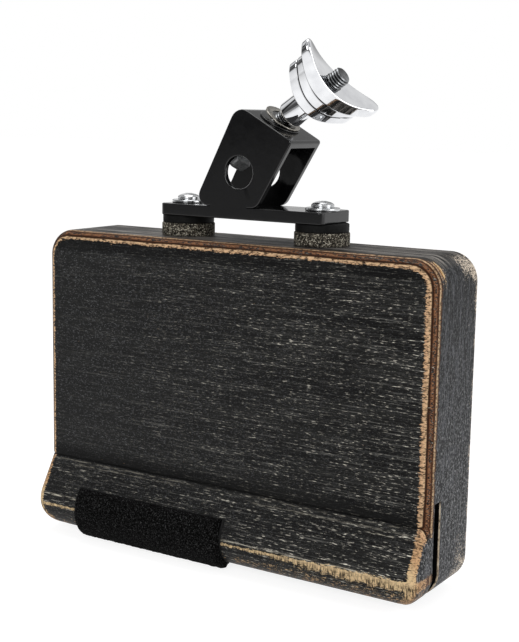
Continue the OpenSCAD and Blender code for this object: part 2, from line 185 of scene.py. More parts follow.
# %% The marks of the plywood
plywood, tree, shader = new_material("Black-stained birch plywood, sanded through",
                                     IOR=1.5, Specular_IOR_Level=0.09)
place = add_node(tree, "ShaderNodeTexCoord", out="Object")
pattern = {}
for name, size_mm, shift, detail, fineness in (
        ("wander", (22, 5, 22), 0, 2.0, 0.5),
        ("fibres", (1.8, 0.8, 0.6), 0, 4.0, 0.7),
        ("hairs", (0.55, 2.6, 3.0), 0, 3.0, 0.6),
        ("brush_lines", (20, 3, 0.45), 0, 4.0, 0.75),
        ("broad", (70, 12, 9), 0, 2.0, 0.5),
        ("specks", (0.8, 1.1, 0.4), 3, 2.0, 0.6),
        ("flecks", (3.0, 1.5, 0.45), 9, 2.0, 0.6),
        ("edge_lines", (30, 1.3, 9), 0, 4.0, 0.8),
        ("edge_flecks", (0.9, 0.9, 1.3), 1, 3.0, 0.7),
        ("top_lines", (60, 1.8, 60), 4, 4.0, 0.8),
        ("scratches", (5, 1.5, 0.5), 7, 3.0, 0.7),
        ("blots", (6, 6, 6), 6, 3.0, 0.5)):
    drawn = add_node(tree, "ShaderNodeMapping", {
        "Vector": place, "Scale": marks(*size_mm), "Location": (shift, shift, shift)})
    pattern[name] = add_node(tree, "ShaderNodeTexNoise", {
        "Vector": drawn, "Scale": 1.0, "Detail": detail, "Roughness": fineness})
print("kinds of mark:", len(pattern))

# %% [markdown]
# The colour of the bare wood depends on how deep a point lies in the plies,
# from the front backwards, so the dark glue lines run true round every
# rounding. The slowest noise lets them wander by up to 0.35 mm either way.

# %% The plies by their depth
PLY_LOW, PLY_HIGH, WANDER = -10.0, 14.0, 0.7
GLUE, DUSK, RUSSET = "#2c1507", "#5a3820", "#704a32"
PLY_LINES = [
    (-10.0, "#dcc297"), (-6.0, "#c19a72"), (-1.5, "#be9a74"), (-0.2, "#c89f7a"),
    (0.45, "#d3b18b"), (0.6, GLUE), (0.95, GLUE), (1.15, RUSSET), (1.7, "#8c6446"),
    (2.1, RUSSET), (2.4, GLUE), (2.9, DUSK), (3.2, "#c2a685"), (3.9, "#a78868"), (4.4, GLUE),
    (5.2, DUSK), (5.9, "#d8b794"), (6.8, GLUE), (7.3, "#b98445"), (8.4, "#e0c9a0"),
    (9.2, DUSK), (10.5, "#c9b29f"), (14.0, "#cdbfad"),
]
depth = add_node(tree, "ShaderNodeSeparateXYZ", {0: place}, out="Y")
depth_mm = add_node(tree, "ShaderNodeMath", {0: depth, 1: 1 / MM, 2: -CORNER.y / MM},
                    operation="MULTIPLY_ADD")
wandering = add_node(tree, "ShaderNodeMath", {0: pattern["wander"], 1: WANDER, 2: depth_mm},
                     operation="MULTIPLY_ADD")
in_plies = add_node(tree, "ShaderNodeMapRange", {
    "Value": wandering, "From Min": PLY_LOW + WANDER / 2, "From Max": PLY_HIGH + WANDER / 2})
plies = add_node(tree, "ShaderNodeValToRGB", {0: in_plies}, ramp=[
    ((y - PLY_LOW) / (PLY_HIGH - PLY_LOW), colour) for y, colour in PLY_LINES])
print("ply lines:", len(PLY_LINES), "from", PLY_LOW, "to", PLY_HIGH, "mm")

# %% [markdown]
# The bare wood isn't clean: stain stays in its pores, between the fibres. On
# the nose of the lip, more than 4 to 8 mm in front of the plate, the sander
# crossed the grain, which left short dark hairs instead. One function lays
# marks of a kind over a colour, and mixes them in as far as every mask allows.

# %% The bare wood
LIP_FROM, LIP_TO = -4.0, -8.0
NOSE_TOP, NOSE_LOW = CORNER.z + 13.4 * MM, CORNER.z + 11.0 * MM


def lay_marks(tree, under, kind, ramp, masks, over):
    """Lays marks of a colour over another, and gives the new colour and the marks' share"""
    share = add_node(tree, "ShaderNodeValToRGB", {0: kind}, ramp=ramp)
    for mask in masks:
        share = add_node(tree, "ShaderNodeMath", {0: share, 1: mask}, operation="MULTIPLY")
    mixed = add_node(tree, "ShaderNodeMix", {0: share, 6: under, 7: over}, 2, data_type="RGBA")
    return mixed, share


on_lip = add_node(tree, "ShaderNodeMapRange", {
    "Value": depth_mm, "From Min": LIP_FROM, "From Max": LIP_TO})
off_lip = add_node(tree, "ShaderNodeMath", {0: on_lip, 1: -0.6, 2: 1.0}, operation="MULTIPLY_ADD")
height = add_node(tree, "ShaderNodeSeparateXYZ", {0: place}, out="Z")
under_nose = add_node(tree, "ShaderNodeMapRange", {
    "Value": height, "From Min": NOSE_TOP, "From Max": NOSE_LOW})
bare_wood, _ = lay_marks(tree, plies, pattern["fibres"], [(0.40, 0.95), (0.55, 0.0)],
                         [off_lip], "#2e1a0c")
bare_wood, _ = lay_marks(tree, bare_wood, pattern["hairs"], [(0.43, 0.9), (0.56, 0.0)],
                         [on_lip, under_nose], "#1c120a")
print("nodes after the bare wood:", len(tree.nodes))

# %% [markdown]
# The stained face has long thin lines along the grain, and broad patches where more stain stayed.
# Fine grey specks lie all over, which are painted glints. Towards the left an even grey is mixed
# in, a painted sheen, and towards the right and on the flare short pale dashes lie on the brush
# lines, which are painted glints as well.

# %% The stained face
# where the painted sheen gives way to painted glints, along x and on the flare
HAZED_X, GLINTING_X, LEAST_GLINT = -0.07, 0.08, 0.05
FLARE_HIGH, FLARE_LOW, FLARE_GLINT = CORNER.z + 34 * MM, CORNER.z + 30 * MM, 0.4
sideways = add_node(tree, "ShaderNodeSeparateXYZ", {0: place}, out="X")
to_right = add_node(tree, "ShaderNodeMapRange", {
    "Value": sideways, "From Min": HAZED_X, "From Max": GLINTING_X, "To Min": LEAST_GLINT})
on_flare = add_node(tree, "ShaderNodeMapRange", {
    "Value": height, "From Min": FLARE_HIGH, "From Max": FLARE_LOW, "To Max": FLARE_GLINT})
glint_side = add_node(tree, "ShaderNodeMath", {0: to_right, 1: on_flare}, operation="MAXIMUM")
brushed = add_node(tree, "ShaderNodeValToRGB", {0: pattern["brush_lines"]}, ramp=[
    (0.38, "#020202"), (0.50, "#0f0f0f"), (0.60, "#313130"), (0.72, "#8b8983")])
stained, _ = lay_marks(tree, brushed, pattern["broad"], [(0.42, 0.0), (0.70, 0.4)], [], "#2a2a28")
# painted sheen: an even grey, strongest at the left
haze_share = add_node(tree, "ShaderNodeMapRange", {"Value": glint_side, "To Min": 0.72, "To Max": 0.0})
stained = add_node(tree, "ShaderNodeMix", {0: haze_share, 6: stained, 7: "#212121"}, 2,
                   data_type="RGBA")
fewer = add_node(tree, "ShaderNodeMath", {0: glint_side, 1: -0.6, 2: 1.0}, operation="MULTIPLY_ADD")
# painted glints: fine grey specks
stained, _ = lay_marks(tree, stained, pattern["specks"], [(0.57, 0.0), (0.72, 0.7)], [fewer],
                       "#6e6f71")
# painted glints: pale dashes on the brush lines, towards the right and on the flare
on_lines = add_node(tree, "ShaderNodeValToRGB", {0: pattern["brush_lines"]},
                    ramp=[(0.47, 0.03), (0.60, 1.0)])
stained, fleck_share = lay_marks(tree, stained, pattern["flecks"], [(0.59, 0.0), (0.66, 1.0)],
                                 [glint_side, on_lines], "#f0eadb")
print("nodes after the stained face:", len(tree.nodes))

# %% [markdown]
# The edges of the boards took the stain as a cooler grey with fine lines along the plies.
# Attributes that the boards carry tell the material where it is: edge_on is 1 on such an edge, and
# scuff along a scraped line. A third one marks the crease and a soft band above it, which get
# painted shade, and a darker band under the upper edge.

# %% The stained edges and the scuffs
DULL_Z, FLECKED_Z = -0.05, -0.13
told = {name: add_node(tree, "ShaderNodeAttribute", out="Fac", attribute_name=name)
        for name in ("edge_on", "scuff", "dark_bands", "bare")}
edge_stain = add_node(tree, "ShaderNodeValToRGB", {0: pattern["edge_lines"]}, ramp=[
    (0.36, "#08090a"), (0.50, "#191a1c"), (0.66, "#505155")])
lower = add_node(tree, "ShaderNodeMapRange", {
    "Value": height, "From Min": DULL_Z, "From Max": FLECKED_Z, "To Min": 0.3})
edge_stain, _ = lay_marks(tree, edge_stain, pattern["edge_flecks"], [(0.50, 0.0), (0.66, 0.9)],
                          [lower], "#8d8d8e")
# Edges that face up get lighter lines, painted light from above.
facing = add_node(tree, "ShaderNodeNewGeometry", out="Normal")
upward = add_node(tree, "ShaderNodeSeparateXYZ", {0: facing}, out="Z")
on_top = add_node(tree, "ShaderNodeMapRange", {"Value": upward, "From Min": 0.6, "From Max": 0.95})
lit_top = add_node(tree, "ShaderNodeValToRGB", {0: pattern["top_lines"]}, ramp=[
    (0.42, "#080808"), (0.50, "#2a2827"), (0.60, "#8c8781")])
edge_stain = add_node(tree, "ShaderNodeMix", {0: on_top, 6: edge_stain, 7: lit_top}, 2,
                      data_type="RGBA")
stained = add_node(tree, "ShaderNodeMix", {0: told["edge_on"], 6: stained, 7: edge_stain}, 2,
                   data_type="RGBA")
stained, _ = lay_marks(tree, stained, pattern["scratches"], [(0.48, 0.0), (0.56, 1.0)],
                       [told["scuff"]], "#d6cfbe")
# painted shade in the crease and above it, and a darker band under the upper edge
stained = add_node(tree, "ShaderNodeMix", {0: told["dark_bands"], 6: stained, 7: "#020202"}, 2,
                   data_type="RGBA")
print("nodes after the edges:", len(tree.nodes))

# %% [markdown]
# One more attribute, bare, says how far the stain is sanded off. The noises of
# the fibres and of broad blots are added to it, which frays the limit, as on
# the real edges. The brush left the surface a little uneven, which the bump and
# the change in gloss show.

# %% Where the stain is gone
frayed = add_node(tree, "ShaderNodeMath", {0: pattern["fibres"], 1: 1.7, 2: -0.85},
                  operation="MULTIPLY_ADD")
frayed = add_node(tree, "ShaderNodeMath", {0: frayed, 1: told["bare"]}, operation="ADD")
frayed = add_node(tree, "ShaderNodeMath", {0: pattern["blots"], 1: 0.5, 2: frayed},
                  operation="MULTIPLY_ADD")
gone = add_node(tree, "ShaderNodeMapRange", {"Value": frayed, "From Min": 0.70, "From Max": 0.82})
colour = add_node(tree, "ShaderNodeMix", {0: gone, 6: stained, 7: bare_wood}, 2, data_type="RGBA")
rough = add_node(tree, "ShaderNodeValToRGB", {0: pattern["brush_lines"]},
                 ramp=[(0.3, 0.40), (0.7, 0.62)])
raised = add_node(tree, "ShaderNodeMath", {0: fleck_share, 1: 0.5, 2: pattern["brush_lines"]},
                  operation="MULTIPLY_ADD")
bump = add_node(tree, "ShaderNodeBump", {"Height": raised, "Distance": 0.12 * MM})
for output, socket in ((colour, "Base Color"), (rough, "Roughness"), (bump, "Normal")):
    tree.links.new(output, shader.inputs[socket])
print("plywood nodes:", len(tree.nodes))

# %% [markdown]
# **Plainer finishes.** Most other surfaces are even, apart from a cloudiness
# that one noise can give: it changes the colour, the gloss and the height
# together, because all three come from the same uneven coat or cut. Inside the
# slot the stain lies thick and matt. Along the slot's rear edge a file took it
# off again, down to the pale wood.

# %% Slot finishes
def clouded(name, size_mm, colours=(), gloss=(), bump_mm=0.0, detail=2.0, fineness=0.5, **values):
    """A material whose colour, gloss and height follow one noise with marks of size_mm"""
    material, tree, shader = new_material(name, **values)
    place = add_node(tree, "ShaderNodeTexCoord", out="Object")
    drawn = add_node(tree, "ShaderNodeMapping", {"Vector": place, "Scale": marks(*size_mm)})
    cloud = add_node(tree, "ShaderNodeTexNoise", {
        "Vector": drawn, "Scale": 1.0, "Detail": detail, "Roughness": fineness})
    for ramp, socket in ((colours, "Base Color"), (gloss, "Roughness")):
        if ramp:
            level = add_node(tree, "ShaderNodeValToRGB", {0: cloud}, ramp=ramp)
            tree.links.new(level, shader.inputs[socket])
    if bump_mm:
        bump = add_node(tree, "ShaderNodeBump", {"Height": cloud, "Distance": bump_mm * MM})
        tree.links.new(bump, shader.inputs["Normal"])
    print(name + ":", len(tree.nodes), "nodes")
    return material


slot_black = clouded("Thick matt black stain", (12, 3, 1), [(0.3, "#030303"), (0.7, "#0b0b0b")],
                     Roughness=0.9, IOR=1.4, Specular_IOR_Level=0.05)
filed_edge = clouded("Filed birch edge", (2, 2, 2.6),
                     [(0.36, "#3a332b"), (0.48, "#a3917a"), (0.66, "#d8c9b2")],
                     bump_mm=0.05, detail=3.0, Roughness=0.6, IOR=1.5, Specular_IOR_Level=0.3)

# %% [markdown]
# **Coated steel.** The clamp is bent steel under a glossy black coat. The coat
# flowed out smooth, uneven over some 6 mm from the bath, which softens
# reflections in places and gives thin lines of light along each edge.

# %% Black-coated steel
coated = clouded("Black-coated steel", (6, 6, 6), gloss=[(0.3, 0.08), (0.7, 0.18)], bump_mm=0.03,
                 detail=3.0, Base_Color=linear("#0d0d0e"), IOR=1.5, Specular_IOR_Level=0.5)

# %% [markdown]
# **Plated metals.** Chrome is a thin bright layer on a polished casting: fully
# metallic, with hardly any roughness. Zinc and nickel are duller, and the
# bolt's head was tumbled in a drum, which left it dullest. The inserts are
# turned brass. Turning and tumbling marks are some 0.05 mm wide, too fine to
# show, so clouds of 0.8 mm or more stand for them. A metal keeps the default
# index of refraction. One loop makes all five, because only their colours,
# gloss and marks differ.

# %% Metals
metals = []
for name, dark, light, low_gloss, high_gloss, mark_mm, bump_mm in (
        ("Polished chrome plating", "#d3d4d7", "#e4e5e7", 0.03, 0.08, 5.0, 0.012),
        ("Bright zinc-plated steel", "#b0b2b4", "#d2d3d4", 0.16, 0.26, 2.5, 0.004),
        ("Tumbled zinc-plated steel", "#b4b6b8", "#e6e7e7", 0.42, 0.55, 0.8, 0.015),
        ("Nickel-plated steel", "#76736d", "#aba79f", 0.16, 0.30, 1.2, 0.008),
        ("Turned brass", "#a8843c", "#cfae68", 0.25, 0.40, 1.0, 0.010)):
    metals.append(clouded(name, (mark_mm, mark_mm, mark_mm), [(0.3, dark), (0.7, light)],
                          [(0.3, low_gloss), (0.7, high_gloss)], bump_mm, Metallic=1.0))
chrome, zinc, dull_zinc, nickel, brass = metals

# %% [markdown]
# The corners between the tiers of the nut and the grooves of the thread get painted shade, dark
# where shade falls in them. The thread's plating is also darker all over, as painted shade for the
# black clamp that it reflects. The attribute joint marks the corners between the tiers of the nut,
# and groove says how deep a point lies in the thread. Both only darken the plating.

# %% Painted shade on the chrome and in the thread
# The thread's darker colour is painted shade for the black clamp that it reflects.
thread_steel = clouded("Zinc-plated thread with painted shade", (1.5, 1.5, 1.5),
                       [(0.35, "#6e7072"), (0.65, "#a9abad")], detail=3.0,
                       Metallic=1.0, Roughness=0.28)
# joint and groove darken the plating with painted shade
for metal, attribute, painted_shade in ((chrome, "joint", "#1c1c1d"), (thread_steel, "groove", "#1d1d1e")):
    tree = metal.node_tree
    base = tree.nodes["Principled BSDF"].inputs["Base Color"]
    where = add_node(tree, "ShaderNodeAttribute", out="Fac", attribute_name=attribute)
    shaded_colour = add_node(tree, "ShaderNodeMix", {0: where, 6: base.links[0].from_socket, 7: painted_shade}, 2,
                     data_type="RGBA")
    tree.links.new(shaded_colour, base)
    print(metal.name, "darkened by", attribute)

# %% [markdown]
# **Rubber, tape and fleece.** Rubber is matt and nearly black, and the tape has
# the faint sheen of its plastic film. The pad's fleece has a pile of tiny
# loops, each about 0.6 mm wide, which give back hardly any light. Noise with
# much detail makes the loops, and a deep bump lets them shade each other.

# %% Rubber, tape and fleece
rubber = clouded("Black rubber", (1.2, 1.2, 1.2), [(0.3, "#040404"), (0.7, "#111111")],
                 bump_mm=0.04, detail=3.0, Roughness=0.6, IOR=1.52, Specular_IOR_Level=0.12)
tape = clouded("Black adhesive tape", (3, 3, 3), [(0.3, "#0c0c0c"), (0.7, "#171717")],
               Roughness=0.5, IOR=1.48, Specular_IOR_Level=0.3)
fleece = clouded("Black loop fleece", (0.6, 0.6, 0.6),
                 [(0.44, "#010101"), (0.54, "#080808"), (0.66, "#484848")],
                 bump_mm=0.6, detail=4.0, fineness=0.75, Roughness=0.95, IOR=1.3,
                 Specular_IOR_Level=0.1, Sheen_Weight=0.03, Sheen_Roughness=0.5,
                 Sheen_Tint=linear("#8a8a8a"))

# %% [markdown]
# **Pressed cork** is made of granules with darker seams, here of a fine kind,
# about 0.4 mm wide. Voronoi cells make them: each cell has one colour, and the
# distance to its edge gives both the seams and the bump.

# %% Cork
GRANULE_MM = 0.42
cork, tree, shader = new_material("Pressed cork", Roughness=0.85, IOR=1.4, Specular_IOR_Level=0.2)
place = add_node(tree, "ShaderNodeTexCoord", out="Object")
cells = {"Vector": place, "Scale": 1 / (GRANULE_MM * MM)}
granules = add_node(tree, "ShaderNodeTexVoronoi", cells, "Color")
seams = add_node(tree, "ShaderNodeTexVoronoi", cells, feature="DISTANCE_TO_EDGE")
shade = add_node(tree, "ShaderNodeSeparateColor", {0: granules})
colour = add_node(tree, "ShaderNodeValToRGB", {0: shade}, ramp=[
    (0.15, "#151310"), (0.5, "#3a352d"), (0.75, "#6c665a"), (0.9, "#b5afa0")])
colour, _ = lay_marks(tree, colour, seams, [(0.02, 0.6), (0.12, 0.0)], [], "#14110d")
tree.links.new(colour, shader.inputs["Base Color"])
bump = add_node(tree, "ShaderNodeBump", {"Height": seams, "Distance": 0.15 * MM})
tree.links.new(bump, shader.inputs["Normal"])
print("materials:", len(bpy.data.materials))

# %% [markdown]
# ## Making a piece
# Every new piece goes through the same last steps: it becomes an object, takes its material, rides
# on its body and stands for its CAD nodes.

# %% Finishing a piece
def finish_piece(name, mesh, material, slot, body, *replaced, sharp_from=35):
    """Makes a mesh into a piece of the model"""
    piece = new_object(name, mesh)
    for each in material if isinstance(material, tuple) else (material,):
        mesh.materials.append(each)
    mesh.polygons.foreach_set("use_smooth", [True] * len(mesh.polygons))
    mesh.set_sharp_from_angle(angle=math.radians(sharp_from))
    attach(piece, body)
    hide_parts(*replaced)
    print(name, "vertices:", len(mesh.vertices))
    return piece


def mesh_from(form, name):
    """Turns a bmesh into a mesh with its faces outwards"""
    bmesh.ops.remove_doubles(form, verts=form.verts, dist=1e-6)
    bmesh.ops.recalc_face_normals(form, faces=form.faces)
    mesh = bpy.data.meshes.new(name)
    form.to_mesh(mesh)
    form.free()
    return mesh


def paint(mesh, name, rule):
    """Gives each vertex a value from its place on the block, in mm"""
    layer = mesh.attributes.new(name, "FLOAT", "POINT")
    for vertex in mesh.vertices:
        p = (vertex.co - CORNER) / MM
        layer.data[vertex.index].value = rule(p.x, p.y, p.z)


# %% [markdown]
# ## The boards of the block
# A board is a skin of rings. Each ring follows the block's outline, a little
# further in than the last, and a rule says how far back each point lies. The
# rings are close together where the edge is rounded, so the light runs over a
# true curve. Another way is a box with a bevel modifier, but a bevel can't
# follow the rounded lip.

# %% Rings round the outline
CORNER_R, ARC_STEPS = 12.0, 16
RINGS = [0, 0.12, 0.35, 0.7, 1.2, 1.8, 2.5, 3.3, 4.1, 4.8, 5.6, 6.6, 8.0, 10.0, 12.0]
BEHIND_RIM, SHORT_OF_WALL = (1.4, 0.5), 0.98
BOARD_INSIDE = 1


def outline(inset, xs, zs):
    """Points (x, z, nx, nz) of the outline moved in, with the way each faces"""
    r = CORNER_R - inset
    arc = [math.radians(90 * i / ARC_STEPS) for i in range(1, ARC_STEPS)]
    arc = [(math.sin(a), math.cos(a)) for a in arc]
    ring = [(x, inset, 0, -1) for x in xs]
    ring += [(xs[-1] + r * s, zs[0] - r * c, s, -c) for s, c in arc]
    ring += [(BLOCK_W - inset, z, 1, 0) for z in zs]
    ring += [(xs[-1] + r * c, zs[-1] + r * s, c, s) for s, c in arc]
    ring += [(x, BLOCK_H - inset, 0, 1) for x in reversed(xs)]
    ring += [(xs[0] - r * s, zs[-1] + r * c, -s, c) for s, c in arc]
    ring += [(inset, z, -1, 0) for z in reversed(zs)]
    ring += [(xs[0] - r * c, zs[0] - r * s, -c, -s) for s, c in arc]
    return ring


print("points on each corner's arc:", ARC_STEPS - 1)

# %% [markdown]
# The rings are joined by strips of faces, and the flat middle of the board is a
# grid. A wall goes back from the outermost ring, with two more rings close
# behind the rim, so that wear can fade out there. Its far end is closed.

# %% Joining the rings to a board
def spread(low, high, count):
    """Even steps from low to high, both included"""
    return [low + (high - low) * i / count for i in range(count + 1)]


def join_rings(form, rings, material_index=0):
    """Faces between each closed ring of points and the next, also where a ring is one point"""
    for a, b in zip(rings, rings[1:]):
        for i in range(len(a)):
            j = (i + 1) % len(a)
            corners = list(dict.fromkeys((a[i], a[j], b[j], b[i])))
            if len(corners) > 2:
                form.faces.new(corners).material_index = material_index


def fill_grid(form, grid):
    """Faces between rows of points"""
    for low, high in zip(grid, grid[1:]):
        for i in range(len(low) - 1):
            form.faces.new((low[i], low[i + 1], high[i + 1], high[i]))


def board(xs, zs, surface, wall_y):
    """A board whose face follows surface(x, z, inset, nz), with walls back to wall_y"""
    form = bmesh.new()
    first = outline(0, xs, zs)
    rows = [[form.verts.new(block_point(x, wall_y, z)) for x, z, _, _ in first]]
    for behind in BEHIND_RIM:
        rows.append([])
        for x, z, _, nz in first:
            y = surface(x, z, 0, nz)
            share = min(1, behind / abs(wall_y - y)) * SHORT_OF_WALL
            rows[-1].append(form.verts.new(block_point(x, y + (wall_y - y) * share, z)))
    for inset in RINGS:
        rows.append([form.verts.new(block_point(x, surface(x, z, inset, nz), z))
                     for x, z, _, nz in outline(inset, xs, zs)])
    join_rings(form, rows)
    fill_grid(form, [[form.verts.new(block_point(x, surface(x, z, CORNER_R, 0), z)) for x in xs]
                     for z in zs])
    form.faces.new(rows[0]).material_index = BOARD_INSIDE
    return form


print("rings of a board:", len(RINGS) + len(BEHIND_RIM) + 1)

# %% [markdown]
# The face board flares out below the crease into a lip with a rounded nose,
# where sticks strike. Its ends and its top edge were rounded with a router.
# The surface rule gives the section of the lip, moved in by the rounding.

# %% Face board and lip
EDGE_R, CREASE_Z, NOSE_R = 4.8, 33.0, 12.7
GROOVE_DEPTH, GROOVE_Z, GROOVE_W = 0.55, CREASE_Z + 0.3, 0.45
NOSE_Y = NOSE_R + (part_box("lip")[0].y - CORNER.y) / MM
NOSE_TO_CREASE = CREASE_Z - NOSE_R
FLARE = math.asin(NOSE_R / math.hypot(NOSE_Y, NOSE_TO_CREASE)) - math.atan2(NOSE_Y, NOSE_TO_CREASE)


def hump(value, centre, width):
    """1 at the centre, and an even fall to nothing about twice the width away"""
    return math.exp(-(((value - centre) / width) ** 2))


def fall_back(inset, r):
    """How far an edge rounded by r has fallen back at an inset from the outline"""
    return r - math.sqrt(max(r * r - (r - inset) ** 2, 0)) if inset < r else 0.0


def face_surface(x, z, inset, nz):
    """How far back the face lies at x and z"""
    back = fall_back(inset, EDGE_R * (1.0 if nz >= 0 else max(0.0, 1 - nz * nz)))
    radius = NOSE_R - back
    turn_z = NOSE_R + radius * math.sin(FLARE)
    if z < turn_z:
        y = NOSE_Y - math.sqrt(max(radius ** 2 - (z - NOSE_R) ** 2, 0))
    else:
        y = NOSE_Y - radius * math.cos(FLARE) + (z - turn_z) * math.tan(FLARE)
    return min(y, back) + GROOVE_DEPTH * hump(z, GROOVE_Z, GROOVE_W)


face_xs = spread(CORNER_R, BLOCK_W - CORNER_R, 44)
face_zs = spread(12, 19.2, 14) + spread(20.2, 27.4, 6) + spread(27.8, 32.6, 13)
face_zs += [32.8, 33.0, 33.2, 33.4, 33.7, 34.2, 35, 37] + spread(41, BLOCK_H - CORNER_R, 18)
face_mesh = mesh_from(board(face_xs, face_zs, face_surface, FRONT_Y), "face_board")
print("the flare leans out by", round(math.degrees(FLARE), 1), "degrees")

# %% [markdown]
# Where the stain is worn off isn't chance: hands and sticks rub edges and
# corners. A rule for each attribute gives every vertex a value from its place.
# Hard limits are softened by an even rise, and lines are narrow humps.

# %% Places on the outline
def near_outline(x, z):
    """Distance to the block's outline, inwards"""
    dx = abs(x - BLOCK_W / 2) - (BLOCK_W / 2 - CORNER_R)
    dz = abs(z - BLOCK_H / 2) - (BLOCK_H / 2 - CORNER_R)
    if dx > 0 and dz > 0:
        return CORNER_R - math.hypot(dx, dz)
    return CORNER_R - max(dx, dz)


def smooth(value, low, high):
    """0 below low, 1 above high, and an even rise between"""
    t = max(0.0, min(1.0, (value - low) / (high - low)))
    return t * t * (3 - 2 * t)


def corner_wear(x, z, upper, centre, width):
    """Wear of the right upper or right lower corner of the block, by degrees round its arc"""
    dx = x - (BLOCK_W - CORNER_R)
    dz = z - (BLOCK_H - CORNER_R) if upper else CORNER_R - z
    if dx <= 0:
        around = 90 - math.degrees(dx / CORNER_R)
    else:
        around = math.degrees(math.atan2(dz, dx) if dz > 0 else dz / CORNER_R)
    return hump(around, centre, width)


print("the middle of the face lies", near_outline(BLOCK_W / 2, BLOCK_H / 2), "mm inwards")

# %% [markdown]
# Above the crease the rounded edge is bare, widest at the right, with a darker
# line where a glue line keeps the stain. Its square side is bare only at the
# right upper corner. On the lip the nose is sanded, in a line that widens to
# the right, and so are the two ends, most near the middle of their height, and
# the underside. A row of the scuffs gives a line's height, where it starts and
# ends along the block, its width and how strong it is.

# %% Wear of the face board
SCUFFS = ((32.3, 4, 198, 0.15, 0.3), (30.2, 118, 198, 0.15, 0.9), (28.5, 172, 198, 0.15, 0.7),
          (30.9, 20, 80, 0.15, 0.7), (16.6, 0, 60, 0.35, 0.9), (13.6, 106, 190, 0.3, 0.8))
RIGHT_FROM, RIGHT_TO, TOP_FROM, TOP_TO = 182, 196, 125, 140
GLUE_LINE_Y, NOSE_LINE_Z, END_MIDDLE_Z = 1.65, 11.6, 29


def face_bare(x, y, z):
    """How bare the face board is sanded"""
    d = near_outline(x, z)
    reach = 0.2 + 1.7 * smooth(x, RIGHT_FROM, RIGHT_TO) * (1 - 0.5 * smooth(z, TOP_FROM, TOP_TO))
    upper = 0.8 * (1 - smooth(d, EDGE_R - 1.8, EDGE_R + reach)) * (1 - 0.3 * smooth(y, 2.4, 4.6))
    upper *= 1 - 0.46 * hump(y, GLUE_LINE_Y, 0.7)
    if d < 0.05 and y > EDGE_R + 0.2:
        upper = 0.72 * corner_wear(x, z, True, 42, 32)
    along = smooth(x, 105, 190)
    end = (1 - smooth(d, EDGE_R - 1.6, EDGE_R + 0.6)) * smooth(d, 0.2, 0.8 + smooth(z, 9, 17))
    end *= smooth(abs(x - BLOCK_W / 2), 84, 97)
    end *= 0.78 * (0.8 + 0.2 * smooth(abs(z - END_MIDDLE_Z), 0, 5))
    nose = 0.98 * hump(z, NOSE_LINE_Z - 0.3 * along, 0.8 + 1.7 * along)
    under = (1 - smooth(z, 7.0, 10.0)) * (0.30 + 0.06 * along)
    above = smooth(z, CREASE_Z - 7, CREASE_Z - 1)
    return 0.03 + max(end, nose, under) * (1 - above) + upper * above


def face_edge_on(x, y, z):
    """1 on the edges of the face board"""
    return 1.0 if near_outline(x, z) < (1.3 if z < CREASE_Z - 5 else 0.2) else 0.0


def face_scuff(x, y, z):
    """Scraped lines along the crease and on the flare"""
    return max([share * hump(z, line_z, width) for line_z, from_x, to_x, width, share in SCUFFS
                if from_x < x < to_x], default=0.0)


def face_dark_bands(x, y, z):
    """Painted shade in the crease and a soft band above it, and a darker band under the upper edge
    """
    return max(0.6 * smooth(z, 131, 134) * (1 - smooth(y, 0.3, 1.5)),
               0.95 * hump(z, GROOVE_Z, 0.32),
               0.75 * smooth(z, CREASE_Z, CREASE_Z + 0.6)
               * (1 - smooth(z, CREASE_Z + 2, CREASE_Z + 9)))


for name, rule in (("bare", face_bare), ("edge_on", face_edge_on), ("dark_bands", face_dark_bands),
                   ("scuff", face_scuff)):
    paint(face_mesh, name, rule)
finish_piece("face_board", face_mesh, (plywood, slot_black), "stained_plywood", "block",
             "front_plate", "lip", sharp_from=28)

# %% [markdown]
# The back board is flat, with a small worn rounding at its back edge.

# %% Back board
BACK_R, REAR_EDGE = 1.5, 1.6
form = board(spread(CORNER_R, BLOCK_W - CORNER_R, 12), spread(CORNER_R, BLOCK_H - CORNER_R, 8),
             lambda x, z, inset, nz: DEPTH - fall_back(inset, BACK_R), BACK_Y)
mesh = mesh_from(form, "back_board")


def rear_bare(x, y, z):
    """How bare the rear of the block is sanded"""
    if near_outline(x, z) > REAR_EDGE:
        return 0.0
    return max(0.6 * corner_wear(x, z, True, 30, 40), 0.5 * corner_wear(x, z, False, 25, 45),
               0.44 * smooth(y, 35, 38.8))


paint(mesh, "bare", rear_bare)
paint(mesh, "edge_on", lambda x, y, z: 1.0 if near_outline(x, z) < REAR_EDGE else 0.0)
finish_piece("back_board", mesh, (plywood, slot_black), "stained_plywood", "block", "back_plate")

# %% [markdown]
# ## The frame between the boards
# Between the boards lies a frame of strips round a hollow chamber, open to the
# slot. It was cut to the outline in one go, so no joint shows. A boolean takes
# the chamber and the slot out of one slab, as a saw would. These helpers make
# the slab and the tools that cut it, and work for the clamp and the nut too.

# %% Cutting and joining
def applied(piece):
    """Turns a piece's modifiers into its mesh"""
    bpy.context.view_layer.update()
    seen = piece.evaluated_get(bpy.context.evaluated_depsgraph_get())
    mesh = bpy.data.meshes.new_from_object(seen)
    piece.modifiers.clear()
    piece.data = mesh


def combine(piece, tool, operation):
    """Cuts a tool from a piece, or joins it to the piece"""
    modifier = piece.modifiers.new("shape", "BOOLEAN")
    modifier.operation = operation
    modifier.solver = "EXACT"
    modifier.object = tool
    applied(piece)
    bpy.data.objects.remove(tool)


def capped(form, name, rings):
    """A closed solid from rings of points, the first and the last filled"""
    join_rings(form, rings)
    form.faces.new(rings[0])
    form.faces.new(rings[-1])
    return new_object(name, mesh_from(form, name))


def prism(name, points, first, last, place_point):
    """A closed prism between two ends, whose corners place_point(u, v, w) puts in the frame"""
    form = bmesh.new()
    return capped(form, name, [[form.verts.new(place_point(p[0], p[1], w)) for p in points]
                               for w in (first, last)])


